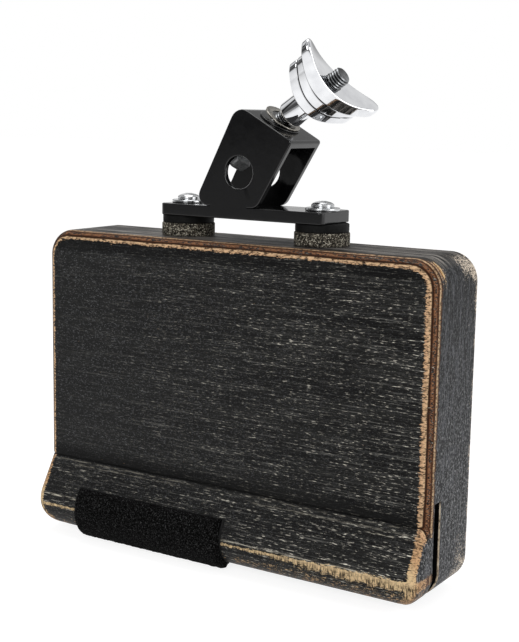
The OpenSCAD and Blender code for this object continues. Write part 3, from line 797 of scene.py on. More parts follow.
def rectangle(low_u, low_v, high_u, high_v):
    """The four corners of a rectangle"""
    return [(low_u, low_v), (high_u, low_v), (high_u, high_v), (low_u, high_v)]


def front_view(x, z, y):
    """A point of the block, seen from the front"""
    return block_point(x, y, z)


print("corners of a rectangle:", rectangle(0, 0, 2, 1))

# %% [markdown]
# The slab has the outline of the boards. The slot is as deep as the spacers are
# thick and runs out at the bottom and at both sides, and the chamber is what
# the four rails leave. Each tool reaches past the slab, because two faces in
# one plane would confuse a boolean.

# %% Slab, slot and chamber
RAIL_W, SLOT_H, PAST = 22.0, 42.7, 5
edge_ring = outline(0, spread(CORNER_R, BLOCK_W - CORNER_R, 1),
                    spread(CORNER_R, BLOCK_H - CORNER_R, 1))
slab = prism("slab", [(x, z) for x, z, _, _ in edge_ring], FRONT_Y, BACK_Y, front_view)
slot = rectangle(-PAST, -PAST, BLOCK_W + PAST, SLOT_H)
combine(slab, prism("slot", slot, FRONT_Y - 2, RAIL_Y, front_view), "DIFFERENCE")
chamber = rectangle(RAIL_W, RAIL_W, BLOCK_W - RAIL_W, BLOCK_H - RAIL_W)
combine(slab, prism("chamber", chamber, FRONT_Y - 2, BACK_Y + 2, front_view), "DIFFERENCE")
print("slab cut, faces:", len(slab.data.polygons))

# %% [markdown]
# The rear edge of the slot was filed, so it gets a small bevel of its own. The
# sides are sliced further, only so that their wear has points to be painted on.

# %% Filed edge, slices and wear
FILED_W, ON_OUTLINE = 0.6, 0.3
SLOT_EDGE, INSIDE = 1, 2
SLICES_Y, SLICES_Z = (7, 8.5, 10, 13.5, 17, 20, 23, 26, 29, 32.5), (8, SLOT_H + 1, SLOT_H + 3)
form = bmesh.new()
form.from_mesh(slab.data)
bpy.data.objects.remove(slab)


def on_filed_edge(edge):
    """Whether an edge lies at the rear of the slot, on the block's outline"""
    places = [(v.co - CORNER) / MM for v in edge.verts]
    return (all(abs(p.y - RAIL_Y) < 0.01 for p in places)
            and all(near_outline(p.x, p.z) < ON_OUTLINE for p in places))


filed = bmesh.ops.bevel(form, geom=[e for e in form.edges if on_filed_edge(e)],
                        offset=FILED_W * MM, segments=3, profile=0.5, affect="EDGES")
for face in form.faces:
    centre = (face.calc_center_median() - CORNER) / MM
    if face in filed["faces"] and centre.z < SLOT_H:
        face.material_index = SLOT_EDGE
    elif near_outline(centre.x, centre.z) > ON_OUTLINE:
        face.material_index = INSIDE
cuts = [((0, y, 0), (0, 1, 0)) for y in SLICES_Y] + [((0, 0, z), (0, 0, 1)) for z in SLICES_Z]
for spot, way in cuts:
    geom = list(form.verts) + list(form.edges) + list(form.faces)
    bmesh.ops.bisect_plane(form, geom=geom, plane_co=block_point(*spot), plane_no=way)
mesh = mesh_from(form, "middle_frame")


def middle_bare(x, y, z):
    """How bare the sides of the frame are, most at the corners beside the boards"""
    if near_outline(x, z) > 0.5:
        return 0.0
    front, rear = 1 - smooth(y, 8, 12), smooth(y, 18, 30)
    return max(corner_wear(x, z, True, 40, 35) * max(0.72 * front, 0.58 * rear),
               0.5 * rear * corner_wear(x, z, False, 25, 45))


paint(mesh, "bare", middle_bare)
paint(mesh, "edge_on", lambda x, y, z: 1.0)
finish_piece("middle_frame", mesh, (plywood, filed_edge, slot_black), "stained_plywood", "block",
             "slot_spacer_top", "slot_spacers", "top_rail", "bottom_rail", "side_rails",
             sharp_from=30)

# %% [markdown]
# ## The striking pad
# A patch of black loop fleece is stuck round the nose, to soften a stroke. The
# skin follows the lip's own section. Fine noise moves every point, so that the
# outline is fuzzy too, and the thickness falls off towards a cut edge.

# %% The pad's place on the lip
PAD_LEFT, PAD_W, PAD_T, TAPE_T = 26.0, 80.5, 3.5, 0.4
PAD_RISE, PAD_WRAP = 3.0, math.radians(95)
WRAP_START = math.pi - FLARE
PAD_LENGTH = PAD_RISE + NOSE_R * PAD_WRAP


def lip_place(t):
    """Point (y, z) and outward way on the lip, t mm along it from the pad's top edge"""
    if t < PAD_RISE:
        out = Vector((-math.cos(FLARE), math.sin(FLARE)))
        along = Vector((math.sin(FLARE), math.cos(FLARE)))
        return Vector((NOSE_Y, NOSE_R)) + out * NOSE_R + along * (PAD_RISE - t), out
    angle = WRAP_START + (t - PAD_RISE) / NOSE_R
    out = Vector((math.cos(angle), math.sin(angle)))
    return Vector((NOSE_Y, NOSE_R)) + out * NOSE_R, out


print("pad:", PAD_W, "by", round(PAD_LENGTH, 1), "mm")

# %% [markdown]
# The pad is a grid of points over another one on the tape, joined along a rim.
# It was cut by hand, so its two ends are a little askew. A cloth simulation
# would suit a loose cover, but this pad is thin and stuck down all over.

# %% Fleece pad
COLUMNS, ROWS = 150, 50
CUT_EDGE, FUZZ, SWELL, SIDE_FUZZ = 2.4, 0.28, 0.12, 0.2
FUZZ_PER_MM, SWELL_PER_MM = 1.1, 0.16
LEFT_SKEW, RIGHT_SKEW = 1.6, 1.0
THIN_EDGE, ROOM_FOR_FUZZ = 0.3, 0.25
form = bmesh.new()
outer, inner = [], []
for row in range(ROWS + 1):
    t = PAD_LENGTH * row / ROWS
    outer.append([])
    inner.append([])
    for column in range(COLUMNS + 1):
        u = PAD_W * column / COLUMNS
        edge = min(t, PAD_LENGTH - t, u, PAD_W - u)
        full = math.sqrt(1 - (1 - min(edge / CUT_EDGE, 1.0)) ** 2)
        (y, z), out = lip_place(t)
        fuzz = (noise.noise(Vector((u, t, 0)) * FUZZ_PER_MM) * FUZZ
                + noise.noise(Vector((u, t, 7)) * SWELL_PER_MM) * SWELL)
        thick = THIN_EDGE + (PAD_T - THIN_EDGE - ROOM_FOR_FUZZ) * full + fuzz * (0.4 + 0.6 * full)
        thick = TAPE_T + min(thick, PAD_T)
        side = noise.noise(Vector((u, t, 15)) * FUZZ_PER_MM) * SIDE_FUZZ
        skew = (-LEFT_SKEW * t / PAD_LENGTH * (1 - u / PAD_W)
                - RIGHT_SKEW * (1 - t / PAD_LENGTH) * u / PAD_W)
        x = PAD_LEFT + u + skew
        for grid, sideways_by, outwards in ((outer, side, thick), (inner, 0, TAPE_T)):
            grid[-1].append(form.verts.new(block_point(
                x + sideways_by, y + out.x * outwards, z + out.y * outwards)))
fill_grid(form, outer)
fill_grid(form, inner)
rim = [(0, i) for i in range(COLUMNS)] + [(j, COLUMNS) for j in range(ROWS)]
rim += [(ROWS, COLUMNS - i) for i in range(COLUMNS)] + [(ROWS - j, 0) for j in range(ROWS)]
for (a, b), (c, d) in zip(rim, rim[1:] + rim[:1]):
    form.faces.new((outer[a][b], outer[c][d], inner[c][d], inner[a][b]))
strike_pad = finish_piece("strike_pad", mesh_from(form, "strike_pad"), fleece, "black_fleece",
                          "block", "pad", sharp_from=80)

# %% [markdown]
# ## Turned pieces
# Washers, screw heads and the ferrule are round, so one function turns a
# profile about an axis. The corners of each profile are broken by a small
# radius, because a real edge always catches a line of light. The arc that does
# so touches both sides of the corner.

# %% Rounded profiles
def corner_arc(corners, i, r):
    """The centre of an arc of radius r that rounds corner i, and the ways to its two ends"""
    corner = Vector(corners[i])
    before = (Vector(corners[i - 1]) - corner).normalized()
    after = (Vector(corners[(i + 1) % len(corners)]) - corner).normalized()
    half = before.angle(after) / 2
    centre = corner + (before + after).normalized() * r / math.sin(half)
    ends = [corner + way * r / math.tan(half) - centre for way in (before, after)]
    return centre, *ends


def softened(profile, radii):
    """A profile whose corners are rounded"""
    points = []
    for i, r in enumerate(radii):
        if r <= 0:
            points.append(Vector(profile[i]))
            continue
        centre, a, b = corner_arc(profile, i, r)
        points += [centre + a.lerp(b, k / 4).normalized() * r for k in range(5)]
    return points


print("points of a rounded corner:", len(softened([(0, 0), (1, 0), (1, 1)], [0, 0.2, 0])) - 2)

# %% [markdown]
# A lathe sets a copy of the profile's points round the axis, one ring for each
# point, and joins the rings. A washer's profile is a rectangle beside the axis.

# %% Lathe
UP = Vector((0, 0, 1))


def circle(radius, count=64):
    """Points round a circle"""
    ways = [2 * math.pi * i / count for i in range(count)]
    return [(radius * math.cos(a), radius * math.sin(a)) for a in ways]


def turned(profile, radii, spots, axis=UP, count=64, closed=True):
    """A bmesh of a profile (radius, height) in mm, turned about an axis through each spot"""
    form = bmesh.new()
    to_axis = UP.rotation_difference(axis)
    points = softened(profile, radii)
    for spot in spots:
        rings = []
        for radius, along in points:
            if radius < 1e-6:
                rings.append([form.verts.new(spot + to_axis @ Vector((0, 0, along)) * MM)] * count)
            else:
                rings.append([form.verts.new(spot + to_axis @ Vector((x, y, along)) * MM)
                              for x, y in circle(radius, count)])
        join_rings(form, rings + rings[:1] if closed else rings)
    return form


def washer(name, diameters, span, radii, spots, axis, *finish, count=64):
    """A finished washer from its outer and inner diameter, its two heights and its corner radii"""
    (outer_r, inner_r), (low, high) = [d / 2 for d in diameters], span
    form = turned(rectangle(inner_r, low, outer_r, high), radii, spots, axis, count)
    finish_piece(name, mesh_from(form, name), *finish)


print("four points of a circle:", [(round(x), round(y)) for x, y in circle(1.0, 4)])

# %% [markdown]
# Each foot of the clamp is a cork washer under a rubber one, and a wide steel
# washer lies under each screw head. The soft ones have rounder rims, and the
# cork spreads a little further than the rubber under the load of the screw.

# %% Feet and washers of the clamp
SCREW_X, SCREW_HOLE_D = 35.0, 5.6
SCREWS = [Vector((x * MM, 0, 0)) for x in (-SCREW_X, SCREW_X)]
for name, node, outer_d, rim_r, finish in (
        ("cork_feet", "cork_washers", 24.0, 0.7, (cork, "cork")),
        ("rubber_feet", "rubber_washers", 23.2, 0.5, (rubber, "black_rubber")),
        ("fender_washers", "screw_washers", 15.0, 0.4, (zinc, "zinc_plated_steel"))):
    span = [corner.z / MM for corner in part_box(node)]
    washer(name, (outer_d, SCREW_HOLE_D), span, [rim_r] * 4, SCREWS, UP, *finish, "block", node)

# %% [markdown]
# The screws have domed heads with a round pit in the middle. Their shanks go
# down through the feet into the top rail, where nobody sees them.

# %% Screws
HEAD_R, HEAD_H, DOME_FROM, DOME_H = 5.0, 2.8, 0.9, 1.9
PIT_R, PIT_FLOOR, SHANK_R, SHANK_L = 1.73, 1.1, 2.5, 14.0
UNDERCUT, PIT_RIM, PIT_TAPER, PIT_BEND = 0.2, 0.08, 0.98, 0.2
DOME_STEPS, DOME_STEP = 8, math.radians(9)
seat_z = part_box("screw_washers")[1].z / MM
profile = [(0, -SHANK_L), (SHANK_R, -SHANK_L), (SHANK_R, 0.0), (HEAD_R - UNDERCUT, 0.0)]
profile += [(HEAD_R * math.cos(DOME_STEP * k), DOME_FROM + DOME_H * math.sin(DOME_STEP * k))
            for k in range(DOME_STEPS)]
profile += [(PIT_R, HEAD_H - PIT_RIM), (PIT_R * PIT_TAPER, PIT_FLOOR + PIT_BEND), (0, PIT_FLOOR)]
form = turned([(r, h + seat_z) for r, h in profile], [0] * len(profile), SCREWS, closed=False)
finish_piece("screw_heads", mesh_from(form, "screw_heads"), zinc, "zinc_plated_steel", "block",
             "bracket_screws", sharp_from=40)

# %% [markdown]
# ## The clamp
# The clamp is one piece of steel: a bar under two walls, bridged by a leaning
# web that the bolt passes through. Bar and walls are drawn as outlines with
# rounded rims and joined, and the gap and the holes are cut out of them. Each
# outline is drawn flat, in whichever view shows it best, so a small function
# for each view puts its points in the frame.

# %% The clamp's own directions
BAR_L, BAR_D, BAR_T, WALL_T, WEB_T = 84.0, 25.0, 5.2, 2.5, 3.4
ROD_RISE, ROD_TO_WEB, ROD_D, WEB_HOLE_D = 15.05, 24.9, 14.0, 11.0
LEAN = math.radians(28.9)
BAR_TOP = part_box("screw_washers")[0].z / MM


def leaning_ways(angle):
    """The way square to a plate that leans by an angle, and the way down along it"""
    return (Vector((math.sin(angle), 0, math.cos(angle))),
            Vector((math.cos(angle), 0, -math.sin(angle))))


def lean_point(along, up):
    """A place in the clamp's leaning frame, seen from the front"""
    return Vector((along * math.cos(LEAN) + up * math.sin(LEAN),
                   up * math.cos(LEAN) - along * math.sin(LEAN)))


def upright(u, v, w):
    """Side view of the clamp: u to the right, v up, w backwards"""
    return Vector((u, w, v)) * MM


def lying(u, v, w):
    """Top view of the clamp: u to the right, v backwards, w up"""
    return Vector((u, v, w)) * MM


def leaning(u, v, w):
    """Side view of the clamp in its leaning frame"""
    return upright(*lean_point(u, v), w)


def square_to_web(u, v, w):
    """The clamp seen along the bolt hole: u along the web, v backwards, w out of the web"""
    return leaning(u, w, v)


WEB_NORMAL, DOWN_WEB = leaning_ways(LEAN)
web_centre = square_to_web(0, 0, ROD_TO_WEB)
print("the web leans by", round(math.degrees(LEAN), 1), "degrees")

# %% [markdown]
# The rims of bar and walls are rounded by rings again: each is the outline,
# moved in and up along a quarter circle, with its corner radii made smaller by
# as much. A bevel modifier could do it only once all is joined, and then it
# would round the seams as well.

# %% Solids with rounded edges
RIM_STEPS = [math.radians(30 * k) for k in range(4)]
ARC_POINTS = 6


def rounded(corners, radii):
    """An outline whose corners are rounded, each by its own radius"""
    points = []
    for i, r in enumerate(radii):
        centre, a, b = corner_arc(corners, i, r)
        whole = a.angle_signed(b)
        for k in range(ARC_POINTS + 1):
            turn_by = -whole * k / ARC_POINTS
            c, s = math.cos(turn_by), math.sin(turn_by)
            points.append(centre + Vector((a.x * c - a.y * s, a.x * s + a.y * c)))
    return points


def soft_prism(name, corners, radii, first, last, edge, place_point):
    """A closed prism of a rounded outline, whose two rims are rounded too"""
    form = bmesh.new()
    levels = [(edge * (1 - math.sin(a)), first + edge * (1 - math.cos(a))) for a in RIM_STEPS]
    levels += [(inset, last - (w - first)) for inset, w in reversed(levels)]
    rings = []
    for inset, w in levels:
        moved_in = [corner_arc(corners, i, inset)[0] for i in range(len(corners))]
        points = rounded(moved_in, [r - inset for r in radii])
        rings.append([form.verts.new(place_point(p.x, p.y, w)) for p in points])
    return capped(form, name, rings)


print("rings in a rounded rim:", len(RIM_STEPS))

# %% [markdown]
# The walls are one solid at first, widest at the web. Its upper corners lie on
# the outer face of the web, and its foot stands on the bar. A neck reaches from
# the foot into the bar, so that they share more than a plane when they join.

# %% Bar and walls
HALF_L, HALF_D = BAR_L / 2, BAR_D / 2
EDGE_SOFT, BAR_CORNER_R = 0.55, 2.5
SHIFT, CLAMP_W, FOOT_W = 0.7, 31.8, 29.0
FOOT_R, HEEL_R, NOSE_CORNER_R, TOP_R = 4.5, 5.0, 1.5, 6.0


def at_height(p, q, z):
    """The point of a line at height z"""
    return p + (q - p) * ((z - p.y) / (q.y - p.y))


clamp = soft_prism("clamp", rectangle(-HALF_L, -HALF_D, HALF_L, HALF_D), [BAR_CORNER_R] * 4,
                   BAR_TOP - BAR_T, BAR_TOP, EDGE_SOFT, lying)
tops = [lean_point(SHIFT + side * CLAMP_W / 2, ROD_TO_WEB) for side in (-1, 1)]
feet = [at_height(top, lean_point(SHIFT + side * FOOT_W / 2, -ROD_RISE), -ROD_RISE)
        for side, top in zip((-1, 1), tops)]
walls = soft_prism("walls", [feet[0], feet[1], tops[1], tops[0]],
                   [FOOT_R, HEEL_R, NOSE_CORNER_R, TOP_R], -HALF_D, HALF_D, EDGE_SOFT, upright)
neck = rectangle(feet[0].x + 2 * FOOT_R, -ROD_RISE - BAR_T / 2,
                 feet[1].x - HEEL_R, -ROD_RISE + BAR_T / 2)
combine(walls, prism("neck", neck, -HALF_D, HALF_D, upright), "UNION")
combine(clamp, walls, "UNION")
print("clamp without its gap, faces:", len(clamp.data.polygons))

# %% [markdown]
# The gap leaves the two walls and the web, and ends at the top of the bar. One
# tool, turned like a spool, cuts both rod holes with their chamfers. The bolt's
# hole goes square through the web, and the screws' holes straight down.

# %% Gap and holes
RIM_CHAMFER, SCREW_HOLE_R, ROOM = 0.6, 2.8, 2
FAR_U, FAR_DOWN, PAST_INNER, PAST_OUTER = 70, 90, 3, 4
WEB_INSIDE = ROD_TO_WEB - WEB_T
gap = prism("gap", rectangle(-FAR_U, -FAR_DOWN, FAR_U, WEB_INSIDE), WALL_T - HALF_D,
            HALF_D - WALL_T, leaning)
below_bar = [(-90, -ROD_RISE), (90, -ROD_RISE), (90, -120), (-90, -120)]
combine(gap, prism("below_bar", below_bar, -40, 40, upright), "DIFFERENCE")
combine(clamp, gap, "DIFFERENCE")
hole_r, funnel_r = ROD_D / 2, ROD_D / 2 + RIM_CHAMFER + ROOM
spool = [(0, -HALF_D - ROOM), (funnel_r, -HALF_D - ROOM), (hole_r, RIM_CHAMFER - HALF_D),
         (hole_r, HALF_D - RIM_CHAMFER), (funnel_r, HALF_D + ROOM), (0, HALF_D + ROOM)]
rod_hole = turned(spool, [0] * len(spool), [Vector()], Vector((0, 1, 0)), closed=False)
combine(clamp, new_object("rod_hole", mesh_from(rod_hole, "rod_hole")), "DIFFERENCE")
combine(clamp, prism("web_hole", circle(WEB_HOLE_D / 2), WEB_INSIDE - PAST_INNER,
                     ROD_TO_WEB + PAST_OUTER, square_to_web), "DIFFERENCE")
for x in (-SCREW_X, SCREW_X):
    screw_hole = [(x + p, q) for p, q in circle(SCREW_HOLE_R, 32)]
    combine(clamp, prism("screw_hole", screw_hole, BAR_TOP - BAR_T - PAST_INNER,
                         BAR_TOP + PAST_INNER, lying), "DIFFERENCE")
print("clamp with its gap and holes, faces:", len(clamp.data.polygons))

# %% [markdown]
# The cuts left knife edges between the walls. Only the convex ones are broken,
# so the bends where the web meets the walls stay crisp. The edges round the rod
# holes have their chamfer already.

# %% Inner edges of the clamp
KNIFE_ANGLE, BROKEN_BY = math.radians(38), 0.35
OVER_BAR, UNDER_WEB, OFF_HOLE = 0.6, 2, 0.3
form = bmesh.new()
form.from_mesh(clamp.data)
bpy.data.objects.remove(clamp)
bmesh.ops.remove_doubles(form, verts=form.verts, dist=2e-6)


def inside_clamp(point):
    """Whether a point lies between the walls, above the bar, under the web and off the rod hole"""
    return (abs(point.y) < (HALF_D - WALL_T) * MM + 1e-6
            and point.z > (BAR_TOP + OVER_BAR) * MM
            and (point - web_centre).dot(WEB_NORMAL) < -UNDER_WEB * MM
            and Vector((point.x, point.z)).length > (ROD_D / 2 + OFF_HOLE) * MM)


knife_edges = [e for e in form.edges if len(e.link_faces) == 2 and e.is_convex
               and e.calc_face_angle() > KNIFE_ANGLE and all(inside_clamp(v.co) for v in e.verts)]
bmesh.ops.bevel(form, geom=knife_edges, offset=BROKEN_BY * MM, segments=2, profile=0.5,
                affect="EDGES", clamp_overlap=True)
print("inner edges broken:", len(knife_edges))
clamp = finish_piece("clamp", mesh_from(form, "clamp"), coated, "black_coated_metal", "block",
                     "bracket", sharp_from=50)
clamp.modifiers.new("normals", "WEIGHTED_NORMAL").keep_sharp = True
applied(clamp)

# %% [markdown]
# ## The bolt, its washers and its nut
# The bolt leans back through the web. Its axis and the hinge that it swings
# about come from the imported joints, so the pieces meet the model exactly.

# %% The bolt's axis
joint_rows = {row["name"]: row for row in frame["joints"]}
PIVOT = Vector(joint_rows["nut_turn"]["pos_m"])
AXIS = Vector(joint_rows["nut_turn"]["axis"]).normalized()
ACROSS = Vector((0, 1, 0))
UPWARD = AXIS.cross(ACROSS)


def on_bolt(u, v, w):
    """A point w mm along the bolt from its pivot, and u and v mm across it"""
    return PIVOT + (UPWARD * -u + ACROSS * v + AXIS * w) * MM


def along_bolt(node):
    """The lowest and the highest place of a CAD node along the bolt, in mm"""
    places = [(v.co - PIVOT).dot(AXIS) / MM for v in nodes[node].data.vertices]
    return min(places), max(places)


print("bolt axis", [round(v, 3) for v in AXIS])

# %% [markdown]
# A black washer lies flat on the web, a little further down than the hole. The
# plated one above it is loose, and stands tipped on the black one's lower edge.

# %% Washers on the web
FLAT_D, FLAT_HOLE_D, FLAT_T, FLAT_SHIFT = 18.5, 9.97, 0.7, 0.884
LOOSE_D, LOOSE_HOLE_D, LOOSE_T, TILT = 17.0, 10.77, 0.8, math.radians(8)
FROM_RIM, CLEAR = 0.4, 0.05
washer("flat_washer", (FLAT_D, FLAT_HOLE_D), (0.0, FLAT_T), [0.2] * 4,
       [web_centre + DOWN_WEB * FLAT_SHIFT * MM], WEB_NORMAL,
       coated, "black_coated_metal", "block", "web_washer")
rest_spot = web_centre + (DOWN_WEB * (FLAT_SHIFT + FLAT_D / 2 - FROM_RIM)
                          + WEB_NORMAL * (FLAT_T + CLEAR)) * MM
tipped, down_tipped = leaning_ways(LEAN + TILT)
washer("tipped_washer", (LOOSE_D, LOOSE_HOLE_D), (0.0, LOOSE_T), [0.25] * 4,
       [rest_spot - down_tipped * LOOSE_D / 2 * MM], tipped,
       nickel, "nickel_plated_steel", "loose_washer", "plated_washer")

# %% [markdown]
# The thread is an M8 coarse one, with a pitch of 1.25 mm. A point's radius
# depends on how far its height is from the helix, so the crest winds up the
# shank as a cut thread does. The head is a hexagon whose corners were cut by a
# cone, so each of its rings takes the smaller of the hexagon and a circle. Its
# profile gives the height of each ring and the circle's share of the corners.

# %% Clamp bolt
PITCH, BOLT_R, THREAD_DEPTH, HEAD_T, HEAD_AF = 1.25, 4.0, 0.62, 5.3, 13.0
BOLT_LOW, BOLT_HIGH = along_bolt("clamp_bolt")
SHANK_LOW, PLAIN_END, TIP_CONE = BOLT_LOW + HEAD_T, 1.0, 0.75
FLANK, CREST_FLAT, PLAIN_UNDER, DEEP_SHADE = 1.35, 0.1, 0.1, 1.3
HEAD_PROFILE = ((0, 0.0), (0, 0.84), (0.25, 0.92), (1.1, 1.0),
                (HEAD_T - 0.2, 1.0), (HEAD_T, 0.98), (HEAD_T, 0.0))
ROUND, PER_PITCH, HEAD_ROUND = 36, 8, 48
SIXTH = math.pi / 3
form = bmesh.new()
cut_depth = form.verts.layers.float.new("groove")
thread_rings = []
count = int((BOLT_HIGH - SHANK_LOW) / PITCH * PER_PITCH)
for w in spread(SHANK_LOW, BOLT_HIGH, count):
    ring = []
    for i in range(ROUND):
        phase = (w / PITCH - i / ROUND) % 1
        depth_share = min(1.0, max(0.0, FLANK * (1 - abs(2 * phase - 1)) - CREST_FLAT))
        cut = THREAD_DEPTH * depth_share if w > SHANK_LOW + PLAIN_END else PLAIN_UNDER
        r = min(BOLT_R - cut, BOLT_R - TIP_CONE + (BOLT_HIGH - w))
        a = 2 * math.pi * i / ROUND
        ring.append(form.verts.new(on_bolt(r * math.cos(a), r * math.sin(a), w)))
        # groove: painted shade, deepest at the root of the thread
        ring[-1][cut_depth] = min(1.0, DEEP_SHADE * depth_share)
    thread_rings.append(ring)
join_rings(form, thread_rings)
form.faces.new(thread_rings[0])
form.faces.new(thread_rings[-1])
head_rings = []
for height_up, share in HEAD_PROFILE:
    head_rings.append([])
    for i in range(HEAD_ROUND):
        a = 2 * math.pi * i / HEAD_ROUND
        r = HEAD_AF / 2 / math.cos(a % SIXTH - SIXTH / 2)
        r = min(r, HEAD_AF / 2 / math.cos(SIXTH / 2) * share) if 0 < share < 1 else r * share
        head_rings[-1].append(form.verts.new(
            on_bolt(r * math.cos(a), r * math.sin(a), BOLT_LOW + height_up)))
join_rings(form, head_rings, material_index=1)
finish_piece("threaded_bolt", mesh_from(form, "threaded_bolt"), (thread_steel, dull_zinc),
             "zinc_plated_steel", "bolt", "clamp_bolt", sharp_from=40)

# %% [markdown]
# The ferrule is a chromed collar between the washers and the nut, which keeps
# the nut off the web. It is turned as the washers are, with more points round
# it, because polish shows every facet. Its lower outer corner is the roundest.

# %% Ferrule
FERRULE_D, FERRULE_HOLE_D = 12.0, 8.1
washer("ferrule_collar", (FERRULE_D, FERRULE_HOLE_D), along_bolt("ferrule"),
       [0.2, 1.3, 0.3, 0.2], [PIVOT], AXIS, chrome, "chrome", "nut_carrier", "ferrule", count=96)

# %% [markdown]
# The wing nut is a chromed casting of three tiers, the top one the longest, all
# bowed towards the tip of the bolt. A tier is a lens seen along the bolt: two
# arcs that meet in round tips. Both its faces are bowed, each by its own rise.

# %% The shape of a tier
TIER_H, TIER_REACH = [4.8, 4.7, 6.5], [18.0, 18.0, 22.2]
UNDER_RISE, TOP_RISE, TIER_HALF_D = [7.4, 7.2, 8.8], [7.2, 6.6, 7.0], [7.4, 7.8, 8.3]
TIP_R, TIP_RIM_R, RIM_R, LAP, PAST_RIM = [3.2, 3.2, 4.6], [1.6, 1.6, 2.4], 0.55, 0.4, 0.15
WING_TURN = math.radians(42)
RIM_WAYS = [math.radians(22.5 * k) for k in range(5)]
TIP_STEPS, SIDE_STEPS = 8, 40
NUT_LOW = along_bolt("wing_nut")[0]


def lens(reach, half, tip_r):
    """One half of a lens, tip to tip, as points and outward ways"""
    tip_x, drop = reach - tip_r, half - tip_r
    arc_r = (tip_x ** 2 + drop ** 2) / (2 * drop)
    side = math.asin(tip_x / arc_r)
    points = []
    for k in range(TIP_STEPS + 1):
        a = math.pi - (math.pi / 2 - side) * k / TIP_STEPS
        way = (math.cos(a), math.sin(a))
        points.append(((-tip_x + tip_r * way[0], tip_r * way[1]), way))
    for k in range(1, SIDE_STEPS):
        a = -side + 2 * side * k / SIDE_STEPS
        points.append(((arc_r * math.sin(a), half - arc_r + arc_r * math.cos(a)),
                       (math.sin(a), math.cos(a))))
    return points + [((-x, y), (-way_x, way_y))
                     for (x, y), (way_x, way_y) in reversed(points[:TIP_STEPS + 1])]


def bow(x, reach, rise):
    """How far a bowed face has risen at x"""
    r = (reach ** 2 + rise ** 2) / (2 * rise)
    return r - math.sqrt(max(r * r - x * x, 0))


def nut_place(x, y, w):
    """A point of the nut, turned about the bolt"""
    c, s = math.cos(WING_TURN), math.sin(WING_TURN)
    return on_bolt(x * c - y * s, x * s + y * c, NUT_LOW + w)


print("the nut starts", round(NUT_LOW, 2), "mm along the bolt")

# %% [markdown]
# A tier's wall and its rounded rims are rings of the lens. The upper rim grows
# rounder towards the wing ends, where polishing takes most away. The top and
# the underside are strips between the two sides, so the bow stays exact. Each
# tier reaches a little into the next one, and then they are joined.

# %% Tiers of the wing nut
casting = None
for tier in range(3):
    form = bmesh.new()
    foot, reach = sum(TIER_H[:tier]), TIER_REACH[tier]
    top = foot + TIER_H[tier] + (0 if tier == 2 else LAP)
    half = lens(reach, TIER_HALF_D[tier], TIP_R[tier])
    loop = half + [((x, -y), (way_x, -way_y)) for (x, y), (way_x, way_y) in reversed(half[1:-1])]
    levels = [("under", 1 - math.sin(a), 1 - math.cos(a), 0) for a in RIM_WAYS]
    levels += [("under", 0, 1, PAST_RIM), ("top", 0, 1, PAST_RIM + LAP)]
    levels += [("top", 1 - math.cos(a), 1 - math.sin(a), 0) for a in RIM_WAYS]
    rings = []
    for side, inset, share, past in levels:
        rings.append([])
        for (x, y), (way_x, way_y) in loop:
            at_tip = smooth(abs(x), reach - 6, reach - 0.5) if side == "top" else 0.0
            rim_r = RIM_R + (TIP_RIM_R[tier] - RIM_R) * at_tip
            x, y = x - way_x * rim_r * inset, y - way_y * rim_r * inset
            w = (foot + bow(x, reach, UNDER_RISE[tier]) + rim_r * share + past if side == "under"
                 else top + bow(x, reach, TOP_RISE[tier]) - rim_r * share - past)
            rings[-1].append(form.verts.new(nut_place(x, y, w)))
    join_rings(form, rings)
    for ring in (rings[0], rings[-1]):
        for j in range(len(half) - 1):
            strip = (ring[j], ring[j + 1], ring[-j - 1], ring[-j])
            form.faces.new(list(dict.fromkeys(strip)))
    solid = new_object("tier", mesh_from(form, "tier"))
    if casting:
        combine(casting, solid, "UNION")
    else:
        casting = solid
    print("tier", tier + 1, "of", len(loop), "points a ring")

# %% [markdown]
# The bore is cut last, a little wider than the thread, as a tapped hole is. The corner between two
# tiers is found by its height, and marked for painted shade.

# %% The nut's bore and its painted shade
BORE_R, BORE_FROM, BORE_TO, SHADE_LINE_W = 4.2, -5, 40, 0.22
bore = turned(rectangle(0, BORE_FROM, BORE_R, BORE_TO), [0] * 4, [on_bolt(0, 0, NUT_LOW)], AXIS,
              closed=False)
combine(casting, new_object("bore", mesh_from(bore, "bore")), "DIFFERENCE")
mesh = casting.data.copy()
bpy.data.objects.remove(casting)
# painted shade in the corners between the tiers
joint = mesh.attributes.new("joint", "FLOAT", "POINT")
for vertex in mesh.vertices:
    offset = (vertex.co - PIVOT) / MM
    u, v, w = offset.dot(-UPWARD), offset.dot(ACROSS), offset.dot(AXIS) - NUT_LOW
    x = u * math.cos(WING_TURN) + v * math.sin(WING_TURN)
    above = [w - sum(TIER_H[:i]) - bow(x, TIER_REACH[i], UNDER_RISE[i]) for i in (1, 2)]
    joint.data[vertex.index].value = 1.0 if min(abs(gap) for gap in above) < SHADE_LINE_W else 0.0
finish_piece("chrome_wing_nut", mesh, chrome, "chrome", "nut", "wing_nut", sharp_from=50)

# %% [markdown]
# ## What stays as the CAD made it
# The inserts and the tape are hidden or a mere edge, so they only take a better
# finish in their own slots.

# %% Kept nodes
for name, material in (("inserts", brass), ("pad_tape", tape)):
    nodes[name].data.materials.clear()
    nodes[name].data.materials.append(material)
    print(name, "is finished as", material.name)

# %% [markdown]
# ## Floor and light
# A pale floor just under the block takes a soft shadow. It glows to the camera
# and to reflections, less to those from far in front of the block, so that it
# looks white and still keeps the shadow. As a light it only gives back what
# falls on it.

